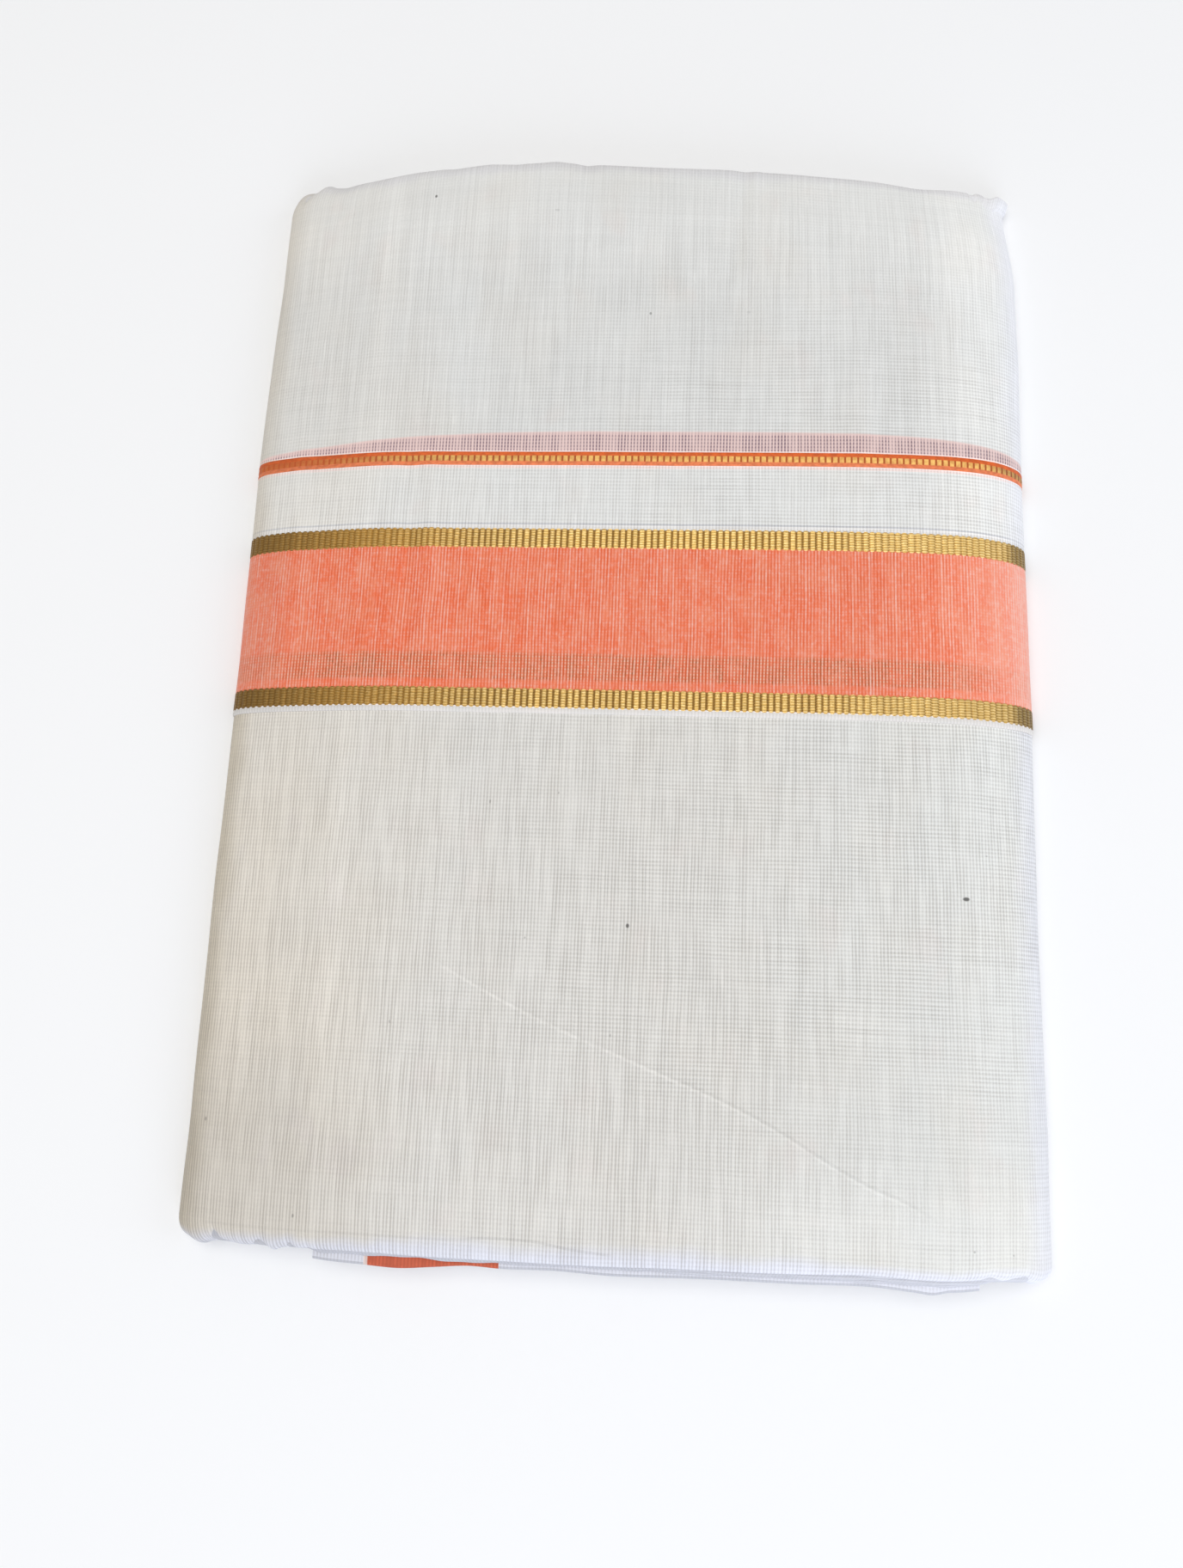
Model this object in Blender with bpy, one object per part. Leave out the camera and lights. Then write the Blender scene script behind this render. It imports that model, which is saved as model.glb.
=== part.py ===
"""Folded dhoti: a length of plain white cotton with woven orange and gold borders.

The cloth is folded across its width and then turned over and over into a flat packet.  The last
turn goes all round the packet.  It is built as a thin wall, cut where one woven stripe meets the
next, so that each stripe is its own solid.  All the layers inside share one solid, and their
folds show as leaves at both ends.

Frame: metres, +Z up, the packet lies on z = 0.  +X runs to the right along the stripes, and +Y
runs from the near folds to the far fold.
"""

import math

import bmesh
import bpy

for old in list(bpy.data.objects):
    bpy.data.objects.remove(old, do_unlink=True)

# Driving sizes of the packet
WIDTH = 0.280
NEAR_FOLD = -0.1950
FAR_FOLD = 0.1947
EDGE_MID = 0.0050
UNDER_ROUND = 0.0045
CORNER_ROUND = 0.0065
GAP = 0.0003

# Cloth walls: the flap lies a cloth's thickness above the panel that it is folded over
FLAP_WALL = 0.0014
FLAP_STEP = 0.0004
PANEL_WALL = FLAP_WALL - FLAP_STEP

# Each fold end sinks softly and then rounds over.  The thin side edges hardly sink.
END_SINK = 0.0016
END_SINK_LENGTH = 0.024
FULL_SINK_HEIGHT = 0.0064
LIP_ROUND = 0.0011
LIP_ANGLES = (0, 30, 60, 90)
ROWS_BEHIND_LIP = (0.0024, 0.0043, 0.0068, 0.0120, 0.0180, 0.0260)
PANEL_ROWS = 4
FLAP_ROWS = 4

# Woven stripes, from the flap's selvedge towards the far fold
SELVEDGE_LINE = -0.0201
STRIPES = (
    # node, width of the stripe, rows of faces along it, material
    ("selvedge", 0.0018, 1, "white_selvedge"),
    ("near_zari", 0.0070, 1, "zari"),
    ("orange_band", 0.0513, 4, "orange_cotton"),
    ("far_zari", 0.0074, 1, "zari"),
    ("border_cloth", 0.0242, 2, "white_cotton"),
    ("fine_stripe", 0.0052, 1, "orange_and_gold"),
)

# Height of the top across the packet, from the left edge to the right one
TOP_PROFILE = (
    # across, height
    (-0.1400, 0.0050),
    (-0.1388, 0.0073),
    (-0.1360, 0.0095),
    (-0.1310, 0.0115),
    (-0.1240, 0.0133),
    (-0.1140, 0.0151),
    (-0.1030, 0.0169),
    (-0.0920, 0.0184),
    (-0.0800, 0.0193),
    (-0.0600, 0.0197),
    (-0.0350, 0.0201),
    (-0.0100, 0.0205),
    (0.0150, 0.0208),
    (0.0400, 0.0211),
    (0.0650, 0.0213),
    (0.0850, 0.0211),
    (0.1020, 0.0204),
    (0.1140, 0.0192),
    (0.1230, 0.0173),
    (0.1300, 0.0147),
    (0.1350, 0.0117),
    (0.1385, 0.0083),
    (0.1400, 0.0050),
)

# How far each part of the far fold lies from its straight line, and how much lower it is
FAR_LINE = (
    # across, further out, lower
    (-0.1400, -0.0016, 0.0000),
    (-0.1100, -0.0012, 0.0000),
    (-0.0850, 0.0010, 0.0000),
    (-0.0450, 0.0037, 0.0000),
    (0.0000, 0.0022, 0.0004),
    (0.0450, 0.0002, 0.0012),
    (0.0850, -0.0024, 0.0024),
    (0.1200, -0.0046, 0.0026),
    (0.1400, -0.0056, 0.0014),
)
FAR_LINE_FADES = 0.060

# The inner bundle is narrower than the wrap and sticks out at the near end
BUNDLE_LEFT = -0.0926
BUNDLE_RIGHT = 0.1157
BUNDLE_END = -0.1985
BUNDLE_SIDE = 0.0006

# Leaves of folded cloth that show at the ends, from the lowest to the highest
LEAVES = (
    # leaf, share of the height, in the inner bundle, near end set back, far end set back
    ("lower wrap", 1.0, False, 0.0012, 0.0010),
    ("lower turn", 1.0, False, 0.0006, 0.0016),
    ("second turn", 1.0, False, 0.0016, 0.0007),
    ("bundle foot", 1.0, True, 0.0016, 0.0013),
    ("bundle heart", 1.0, True, 0.0009, 0.0006),
    ("bundle back", 1.0, True, 0.0012, 0.0014),
    ("cloth end", 1.4, True, 0.0000, 0.0008),
    ("upper turn", 1.0, False, 0.0013, 0.0015),
    ("upper wrap", 1.0, False, 0.0008, 0.0009),
)
LEAF_SHARES = [leaf[1] for leaf in LEAVES]
LEAF_GROOVE = 0.0022
LEAF_TIP_SHARE = 0.55
LEAF_SHOULDER_SHARE = 0.15
LEAF_SHOULDER_BACK = 0.35
LEAF_WAVE = 0.0003
WAVE_TURN = 2.1
WAVE_RATE = 47
WAVE_SPREAD = 9

# The solid of hidden layers stays clear of the wrap's rounded sides and corners
CORE_INSET = FLAP_WALL + GAP
CORE_HALF = 0.1378
CORE_CORNER = 0.0075
CORE_ROWS = (-0.1850, -0.1740, -0.1300, -0.0500, 0.0500, 0.1300, 0.1560, 0.1740, 0.1860)
CORE_PLACES = (
    (-0.1374, -0.1355, -0.1315, -0.1240, -0.1140, -0.1030)
    + (BUNDLE_LEFT - BUNDLE_SIDE, BUNDLE_LEFT)
    + (-0.0757, -0.0600, -0.0450, -0.0328, -0.0100, 0.0150, 0.0400, 0.0650, 0.0850, 0.1020)
    + (BUNDLE_RIGHT, BUNDLE_RIGHT + BUNDLE_SIDE)
    + (0.1230, 0.1300, 0.1345, 0.1374)
)

# The cloth's own end is a leaf by itself, with the woven end band across it
CLOTH_END_LEAF = 6
CLOTH_END_DEPTH = 0.0240
CLOTH_END_CORNER = 0.0014
CLOTH_END_HEADROOM = 2 * GAP
NOSE_ANGLES = (90, 60, 30, 0, -30, -60, -90)
NOSE_LENGTH = 0.0016
END_LEAVES = (
    # node, left side, right side, material
    ("cloth_end_left", BUNDLE_LEFT, -0.0757, "white_cotton"),
    ("end_band", -0.0757, -0.0328, "orange_cotton"),
    ("cloth_end_right", -0.0328, BUNDLE_RIGHT, "white_cotton"),
)

SHARP_EDGE = math.radians(40)
MATERIALS = {
    # slot: colour, roughness, metallic value
    "white_cotton": ((0.80, 0.80, 0.77), 0.85, 0.0),
    "white_selvedge": ((0.86, 0.84, 0.82), 0.80, 0.0),
    "orange_cotton": ((0.86, 0.28, 0.13), 0.80, 0.0),
    "orange_and_gold": ((0.66, 0.24, 0.07), 0.60, 0.2),
    "zari": ((0.60, 0.40, 0.15), 0.42, 0.6),
}


def read_table(table, place, column):
    """Read a column of a table at a place between its rows, on a smooth curve."""
    last = len(table) - 1
    if place <= table[0][0]:
        return table[0][column]
    if place >= table[last][0]:
        return table[last][column]
    row = max(i for i in range(last) if table[i][0] <= place)
    x0, x1 = table[row][0], table[row + 1][0]
    y0, y1 = table[row][column], table[row + 1][column]
    before, after = table[max(row - 1, 0)], table[min(row + 2, last)]
    slope0 = (y1 - before[column]) / (x1 - before[0])
    slope1 = (after[column] - y0) / (after[0] - x0)
    span = x1 - x0
    t = (place - x0) / span
    return (
        (2 * t**3 - 3 * t**2 + 1) * y0
        + (t**3 - 2 * t**2 + t) * span * slope0
        + (3 * t**2 - 2 * t**3) * y1
        + (t**3 - t**2) * span * slope1
    )


def ease(value):
    """Go smoothly from 0 to 1."""
    value = min(max(value, 0.0), 1.0)
    return value * value * (3 - 2 * value)


def quarter_round(distance, radius):
    """Give how far a rounded corner lies inside its edge, at a distance from the edge."""
    reach = radius - min(max(distance, 0.0), radius)
    return radius - math.sqrt(radius**2 - reach**2)


def from_end(along):
    """Give the distance from the nearer fold end."""
    return min(along - NEAR_FOLD, FAR_FOLD - along)


def far_share(along):
    """Say how far a row follows the far fold's own line, from 0 to 1."""
    return ease((along - FAR_FOLD + FAR_LINE_FADES) / FAR_LINE_FADES)


def far_shift(across, along):
    """Give how far a point moves along the packet to follow the far fold's own line."""
    return far_share(along) * read_table(FAR_LINE, across, 1)


def under_edge(degrees):
    """Give a point of the rounded lower edge on the right side."""
    turn = math.radians(degrees)
    x = WIDTH / 2 - UNDER_ROUND + UNDER_ROUND * math.sin(turn)
    return x, EDGE_MID * (1 - math.cos(turn))


def move_in(loop, inset):
    """Move each point of a loop inwards, square to the loop there."""
    moved = []
    for i, (x, z) in enumerate(loop):
        x0, z0 = loop[i - 1]
        x1, z1 = loop[(i + 1) % len(loop)]
        before = math.hypot(x - x0, z - z0)
        after = math.hypot(x1 - x, z1 - z)
        normal_x = (z0 - z) / before + (z - z1) / after
        normal_z = (x - x0) / before + (x1 - x) / after
        length = math.hypot(normal_x, normal_z)
        moved.append((x + inset * normal_x / length, z + inset * normal_z / length))
    return moved


def section_loop(along, inset, step=0.0, lip=False):
    """Give the packet's outline across one row as (x, z) points, moved in by the inset.

    The outline runs along the underside to the right, and back over the top.
    """
    side = quarter_round(from_end(along), CORNER_ROUND) + step
    squeeze = 1 - side / (WIDTH / 2)
    sink = END_SINK * (1 - ease(from_end(along) / END_SINK_LENGTH)) + step
    under = [(share * (WIDTH / 2 - UNDER_ROUND), 0.0) for share in (-1, -0.5, 0, 0.5, 1)]
    right = [under_edge(30), under_edge(60)]
    left = [(-x, z) for x, z in reversed(right)]
    top = []
    for across, height in reversed(TOP_PROFILE):
        lower = sink + far_share(along) * read_table(FAR_LINE, across, 2)
        share = min(1.0, (height - EDGE_MID) / FULL_SINK_HEIGHT)
        top.append((across, height - lower * share))
    loop = [(x * squeeze, z) for x, z in under + right + top + left]
    if lip:
        inset = inset + quarter_round(from_end(along), LIP_ROUND)
    return move_in(loop, inset)


def height_span(loop, across):
    """Give the lowest and highest points of a loop at a place across it."""
    heights = []
    for i, (x0, z0) in enumerate(loop):
        x1, z1 = loop[(i + 1) % len(loop)]
        if (x0 - across) * (x1 - across) <= 0 and x0 != x1:
            heights.append(z0 + (z1 - z0) * (across - x0) / (x1 - x0))
    return min(heights), max(heights)


def material(slot):
    """Give a slot's material, made once."""
    if slot in bpy.data.materials:
        return bpy.data.materials[slot]
    colour, roughness, metallic = MATERIALS[slot]
    made = bpy.data.materials.new(slot)
    made.use_nodes = True
    shader = made.node_tree.nodes["Principled BSDF"]
    shader.inputs["Base Color"].default_value = (*colour, 1.0)
    shader.inputs["Roughness"].default_value = roughness
    shader.inputs["Metallic"].default_value = metallic
    return made


def make_object(name, rows, slot, closed):
    """Make one solid from rows of points that all run round it the same way.

    The last row joins the first one on a solid that is closed that way, such as a wall that
    goes out and comes back.  Otherwise the first and last rows are filled.
    """
    count = len(rows[0])
    faces = []
    for row in range(len(rows) if closed else len(rows) - 1):
        first = row * count
        second = (row + 1) % len(rows) * count
        for i in range(count):
            after = (i + 1) % count
            faces.append((first + i, first + after, second + after, second + i))
    if not closed:
        faces.append(tuple(range(count)))
        faces.append(tuple(range((len(rows) - 1) * count, len(rows) * count)))
    mesh = bpy.data.meshes.new(name)
    mesh.from_pydata([point for row in rows for point in row], [], faces)
    work = bmesh.new()
    work.from_mesh(mesh)
    bmesh.ops.recalc_face_normals(work, faces=work.faces)
    work.to_mesh(mesh)
    work.free()
    mesh.shade_smooth()
    mesh.set_sharp_from_angle(angle=SHARP_EDGE)
    mesh.materials.append(material(slot))
    solid = bpy.data.objects.new(name, mesh)
    bpy.context.scene.collection.objects.link(solid)


def wrap_row(along, inset, step, lip):
    """Give one row of points round the wrap, in its place along the packet."""
    loop = section_loop(along, inset, step, lip)
    return [(x, along + far_shift(x, along), z) for x, z in loop]


def make_wrap(name, places, wall, step, slot):
    """Make one stretch of the outer wrap, a thin wall all round the packet."""
    outer = [wrap_row(along, 0.0, step, True) for along in places]
    inner = [wrap_row(along, wall, step, False) for along in reversed(places)]
    make_object(name, outer + inner, slot, closed=True)


def spread(first, last, count):
    """Give places from first to last, in equal steps."""
    return [first + (last - first) * i / count for i in range(count + 1)]


def end_distances():
    """Give the distances of the rows from a fold end, from the end inwards."""
    lip = [LIP_ROUND * (1 - math.cos(math.radians(angle))) for angle in LIP_ANGLES]
    return lip + list(ROWS_BEHIND_LIP)


def make_outer_wrap():
    """Make the panel, the stripes and the flap, from the near fold to the far one."""
    near_rows = [NEAR_FOLD + distance for distance in end_distances()]
    panel_rows = near_rows + spread(near_rows[-1], SELVEDGE_LINE - GAP, PANEL_ROWS)[1:]
    make_wrap("near_panel", panel_rows, PANEL_WALL, FLAP_STEP, "white_cotton")
    along = SELVEDGE_LINE
    for name, width, rows, slot in STRIPES:
        make_wrap(name, spread(along, along + width - GAP, rows), FLAP_WALL, 0.0, slot)
        along += width
    far_rows = [FAR_FOLD - distance for distance in reversed(end_distances())]
    flap_rows = spread(along, far_rows[0], FLAP_ROWS)[:-1] + far_rows
    make_wrap("flap_cloth", flap_rows, FLAP_WALL, 0.0, "white_cotton")


def core_corner(across):
    """Give how far the hidden layers stay back at the packet's rounded corners."""
    return quarter_round(CORE_HALF - abs(across), CORE_CORNER)


def leaf_level(leaf, across, along):
    """Give the height of the underside of a leaf.  The number after the last gives the top."""
    clear = max(from_end(along), core_corner(across))
    row = NEAR_FOLD + clear if along < 0 else FAR_FOLD - clear
    low, high = height_span(section_loop(row, CORE_INSET), across)
    return low + (high - low) * sum(LEAF_SHARES[:leaf]) / sum(LEAF_SHARES)


def leaf_tip(leaf, across, near):
    """Give how far along the packet a leaf reaches, at a place across it."""
    _, _, in_bundle, near_back, far_back = LEAVES[leaf]
    wave = LEAF_WAVE * (1 + math.sin(leaf * WAVE_TURN + across * (WAVE_RATE + WAVE_SPREAD * leaf)))
    back = core_corner(across) + wave
    if near:
        sticks_out = in_bundle and BUNDLE_LEFT <= across <= BUNDLE_RIGHT
        fold = BUNDLE_END if sticks_out else NEAR_FOLD
        return fold + near_back + back
    return FAR_FOLD + read_table(FAR_LINE, across, 1) - far_back - back


def leaf_points(leaf, across, near):
    """Give the rounded end of one leaf and the groove over it, as (y, z) points going up."""
    end = NEAR_FOLD if near else FAR_FOLD
    inwards = 1 if near else -1
    low = leaf_level(leaf, across, end)
    high = leaf_level(leaf + 1, across, end)
    groove = min(LEAF_GROOVE, high - low)
    tip = leaf_tip(leaf, across, near)
    in_bundle = BUNDLE_LEFT <= across <= BUNDLE_RIGHT
    if near and in_bundle and leaf == CLOTH_END_LEAF:
        back = BUNDLE_END + CLOTH_END_DEPTH + GAP
        pocket = [(back, leaf_level(leaf, across, back)), (back, leaf_level(leaf + 1, across, back))]
        return pocket + [(leaf_tip(leaf + 1, across, near) + groove / 2, high)]
    if near and in_bundle and leaf == CLOTH_END_LEAF - 1:
        groove = groove / 4
    points = [
        (tip + inwards * LEAF_SHOULDER_BACK * groove, low + LEAF_SHOULDER_SHARE * (high - low)),
        (tip, low + LEAF_TIP_SHARE * (high - low)),
        (tip + inwards * groove, high),
    ]
    return points if leaf < len(LEAVES) - 1 else points[:2]


def make_hidden_folds():
    """Make the solid of all the layers inside, with grooves between the leaves at its ends."""
    rows = []
    for across in CORE_PLACES:
        near_end = []
        far_end = []
        for leaf in range(len(LEAVES)):
            near_end += leaf_points(leaf, across, near=True)
            far_end += leaf_points(leaf, across, near=False)
        top = []
        for along in reversed(CORE_ROWS):
            height = leaf_level(len(LEAVES), across, along)
            top.append((along + far_shift(across, along), height))
        outline = far_end + top + near_end[::-1]
        rows.append([(across, y, z) for y, z in outline])
    make_object("hidden_folds", rows, "white_cotton", closed=False)


def end_leaf_faces(across, along):
    """Give the heights of the lower and upper face of the cloth's end leaf in its pocket."""
    low = leaf_level(CLOTH_END_LEAF, across, along) + GAP
    high = leaf_level(CLOTH_END_LEAF + 1, across, along) - CLOTH_END_HEADROOM
    return low, high


def end_leaf_row(across, corner):
    """Give the outline of the cloth's end leaf at one place across the packet."""
    back = BUNDLE_END + CLOTH_END_DEPTH
    tip = leaf_tip(CLOTH_END_LEAF, across, near=True) + corner
    low, high = end_leaf_faces(across, NEAR_FOLD)
    outline = []
    for degrees in NOSE_ANGLES:
        turn = math.radians(degrees)
        y = tip + NOSE_LENGTH * (1 - math.cos(turn))
        outline.append((across, y, (low + high) / 2 + (high - low) / 2 * math.sin(turn)))
    return outline + [(across, back, height) for height in end_leaf_faces(across, back)]


def make_cloth_end():
    """Make the leaf that ends the cloth, in three stretches with the end band between."""
    for name, left, right, slot in END_LEAVES:
        clear_left = GAP if left == BUNDLE_LEFT else GAP / 2
        clear_right = GAP if right == BUNDLE_RIGHT else GAP / 2
        inside = [place for place in CORE_PLACES if left < place < right]
        places = [left + clear_left] + inside + [right - clear_right]
        if left == BUNDLE_LEFT:
            places.insert(1, left + CLOTH_END_CORNER)
        if right == BUNDLE_RIGHT:
            places.insert(-1, right - CLOTH_END_CORNER)
        rows = []
        for across in places:
            from_side = min(across - BUNDLE_LEFT, BUNDLE_RIGHT - across)
            rows.append(end_leaf_row(across, quarter_round(from_side, CLOTH_END_CORNER)))
        make_object(name, rows, slot, closed=False)


make_outer_wrap()
make_hidden_folds()
make_cloth_end()
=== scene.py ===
import math

import bpy
import numpy as np
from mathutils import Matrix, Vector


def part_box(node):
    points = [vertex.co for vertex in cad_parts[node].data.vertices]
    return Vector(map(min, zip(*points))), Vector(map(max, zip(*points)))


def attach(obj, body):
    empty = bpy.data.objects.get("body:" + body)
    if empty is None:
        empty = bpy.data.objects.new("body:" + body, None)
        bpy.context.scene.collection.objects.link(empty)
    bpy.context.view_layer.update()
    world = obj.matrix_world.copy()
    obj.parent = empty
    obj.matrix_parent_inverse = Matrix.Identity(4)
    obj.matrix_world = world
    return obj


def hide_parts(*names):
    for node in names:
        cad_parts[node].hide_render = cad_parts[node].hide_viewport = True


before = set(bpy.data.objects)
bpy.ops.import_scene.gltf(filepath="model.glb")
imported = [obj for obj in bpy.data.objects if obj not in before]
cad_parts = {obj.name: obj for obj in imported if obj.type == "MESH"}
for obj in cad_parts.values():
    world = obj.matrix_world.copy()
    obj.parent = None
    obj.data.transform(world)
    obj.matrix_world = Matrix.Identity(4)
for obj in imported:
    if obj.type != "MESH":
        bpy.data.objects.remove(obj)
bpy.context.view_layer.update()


# The turns inside.  The cloth is folded across its width and then turned over and over into a
# flat packet, so fold lies over fold at both ends.  Plain white cotton, pressed but not sewn.
# Only the last stretch of each turn is laid: it comes out, folds over and goes back in.
ground_low, ground_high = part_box("border_cloth")
panel_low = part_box("near_panel")[0]
flap_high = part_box("flap_cloth")[1]
HALF_WIDTH = ground_high.x
NEAR_FOLD = panel_low.y
EDGE_MID = 0.0050
END_SINK = 0.0016
FULL_SINK_HEIGHT = 0.0064
TOP_PROFILE = np.array((
    # across, height
    (-0.1400, 0.0050),
    (-0.1388, 0.0073),
    (-0.1360, 0.0095),
    (-0.1310, 0.0115),
    (-0.1240, 0.0133),
    (-0.1140, 0.0151),
    (-0.1030, 0.0169),
    (-0.0920, 0.0184),
    (-0.0800, 0.0193),
    (-0.0600, 0.0197),
    (-0.0350, 0.0201),
    (-0.0100, 0.0205),
    (0.0150, 0.0208),
    (0.0400, 0.0211),
    (0.0650, 0.0213),
    (0.0850, 0.0211),
    (0.1020, 0.0204),
    (0.1140, 0.0192),
    (0.1230, 0.0173),
    (0.1300, 0.0147),
    (0.1350, 0.0117),
    (0.1385, 0.0083),
    (0.1400, 0.0050),
))
FAR_LINE = np.array((
    # across, further out, lower
    (-0.1400, -0.0016, 0.0000),
    (-0.1100, -0.0012, 0.0000),
    (-0.0850, 0.0010, 0.0000),
    (-0.0450, 0.0037, 0.0000),
    (0.0000, 0.0017, 0.0004),
    (0.0450, -0.0007, 0.0012),
    (0.0850, -0.0035, 0.0024),
    (0.1200, -0.0051, 0.0026),
    (0.1400, -0.0056, 0.0014),
))
NEAR_LINE = np.array((
    # across, further out
    (-0.1400, 0.0002),
    (-0.1200, 0.0006),
    (-0.0960, 0.0006),
    (-0.0780, 0.0005),
    (-0.0560, 0.0009),
    (-0.0330, 0.0009),
    (-0.0050, 0.0009),
    (0.0400, 0.0003),
    (0.0800, -0.0004),
    (0.1120, -0.0004),
    (0.1180, -0.0009),
    (0.1250, -0.0013),
    (0.1350, -0.0002),
    (0.1400, -0.0002),
))
FAR_FOLD = flap_high.y - FAR_LINE[:, 1].max()
CLOTH_THICK = 0.00042
TURN_DEPTH = 0.012
TURN_NOSE = 0.0011
TURN_CORNER = 0.0075
NEAR_TURNS = (
    # left, right, low and high share of the height, leaf's share, sticks out, bumps
    (-0.1382, 0.1380, 0.082, 0.922, 0.066, -0.0003, 0.0004),
    (-0.1366, 0.1362, 0.156, 0.848, 0.058, 0.0011, 0.0003),
    (-0.1345, 0.1340, 0.226, 0.783, 0.056, 0.0017, 0.0004),
    (-0.0926, 0.1157, 0.296, 0.622, 0.052, 0.0030, 0.0002),
    (-0.0921, 0.1146, 0.358, 0.562, 0.048, 0.0022, 0.0004),
    (-0.0914, 0.1120, 0.418, 0.502, 0.036, 0.0027, 0.0003),
    (-0.1325, -0.0938, 0.296, 0.716, 0.070, -0.0008, 0.0006),
    (-0.1290, -0.0962, 0.384, 0.630, 0.070, -0.0004, 0.0006),
    (-0.1240, -0.0990, 0.470, 0.545, 0.030, -0.0010, 0.0005),
    (0.1170, 0.1320, 0.296, 0.716, 0.070, -0.0005, 0.0005),
    (0.1186, 0.1292, 0.384, 0.630, 0.080, -0.0009, 0.0004),
)
STAGGER_FROM = -0.0962
STAGGER_TO = 0.1200
STAGGER_FADES = 0.0070
FAR_TURNS = (
    # left, right, low and high share of the height, leaf's share, sticks out, bumps
    (-0.1382, 0.1380, 0.082, 0.922, 0.066, -0.0008, 0.0004),
    (-0.1364, 0.1360, 0.156, 0.848, 0.062, -0.0004, 0.0006),
    (-0.1335, 0.1335, 0.230, 0.776, 0.062, -0.0010, 0.0005),
    (-0.1290, 0.1290, 0.302, 0.704, 0.060, -0.0006, 0.0006),
    (-0.1220, 0.1230, 0.372, 0.636, 0.056, -0.0009, 0.0006),
    (-0.1130, 0.1150, 0.438, 0.570, 0.052, -0.0004, 0.0005),
)
TURN_WAVES = (
    # size, waves across, more of them in each next turn, shift
    (1.0, 71, 13, 1),
    (1.0, 190, 31, 2),
    (0.6, 430, 47, 0),
)
EAR_FROM = 0.1300
EAR_SLOPE = 0.0050
EAR_OUT = 0.0028
EAR_SIDE = 0.0015
EAR_LENGTH = 0.0030
EAR_FADES = 0.0055
EAR_INSIDE = 0.0045


def through(knots, values, places):
    """Read values at places between knots, on a smooth curve through them."""
    slopes = np.gradient(values, knots)
    places = np.clip(places, knots[0], knots[-1])
    cell = np.clip(np.searchsorted(knots, places, side="right") - 1, 0, len(knots) - 2)
    span = knots[cell + 1] - knots[cell]
    t = (places - knots[cell]) / span
    return (
        (2 * t**3 - 3 * t**2 + 1) * values[cell]
        + (t**3 - 2 * t**2 + t) * span * slopes[cell]
        + (3 * t**2 - 2 * t**3) * values[cell + 1]
        + (t**3 - t**2) * span * slopes[cell + 1]
    )


def ease(value):
    """Go smoothly from 0 to 1."""
    value = np.clip(value, 0.0, 1.0)
    return value * value * (3 - 2 * value)


def round_off(distance, reach, depth):
    """Give how far a rounded corner lies inside its edge, at a distance from its tip."""
    share = 1 - np.clip(distance / reach, 0.0, 1.0)
    return depth * (1 - np.sqrt(1 - share**2))


def sunk_height(across, sink):
    """Give the height of the top, sunk softly where it is high enough to sink."""
    height = through(TOP_PROFILE[:, 0], TOP_PROFILE[:, 1], across)
    return height - sink * np.clip((height - EDGE_MID) / FULL_SINK_HEIGHT, 0.0, 1.0)


def even_steps(x, z, count):
    """Walk round a closed outline in even steps."""
    x, z = np.append(x, x[0]), np.append(z, z[0])
    walked = np.concatenate(([0.0], np.cumsum(np.hypot(np.diff(x), np.diff(z)))))
    places = np.linspace(0.0, walked[-1], count, endpoint=False)
    return np.interp(places, walked, x), np.interp(places, walked, z), walked[-1]


def turn_outline(left, right, low, high, far, count):
    """Give a turn's outline seen from its end: over the top to the right, and back below."""
    edge = 0.5 * (high - low) * sunk_height(np.array([left + 0.004, right - 0.004]), END_SINK)
    edge = np.minimum(edge, 0.3 * (right - left))
    arc = 1 - np.cos(np.linspace(0.0, math.pi / 2, 24))
    middle = np.linspace(left + edge[0], right - edge[1], 500)[1:-1]
    across = np.concatenate((left + edge[0] * arc, middle, right - edge[1] * arc[::-1]))
    cap = np.minimum((across - left) / edge[0], (right - across) / edge[1])
    cap = np.sqrt(1 - (1 - np.clip(cap, 0.0, 1.0)) ** 2)
    sink = END_SINK + far * through(FAR_LINE[:, 0], FAR_LINE[:, 2], across)
    height = sunk_height(across, sink)
    centre, half = height * (high + low) / 2, height * (high - low) / 2 * cap
    x = np.concatenate((across, across[-2:0:-1]))
    z = np.concatenate((centre + half, (centre - half)[-2:0:-1]))
    return even_steps(x, z, count)


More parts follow.
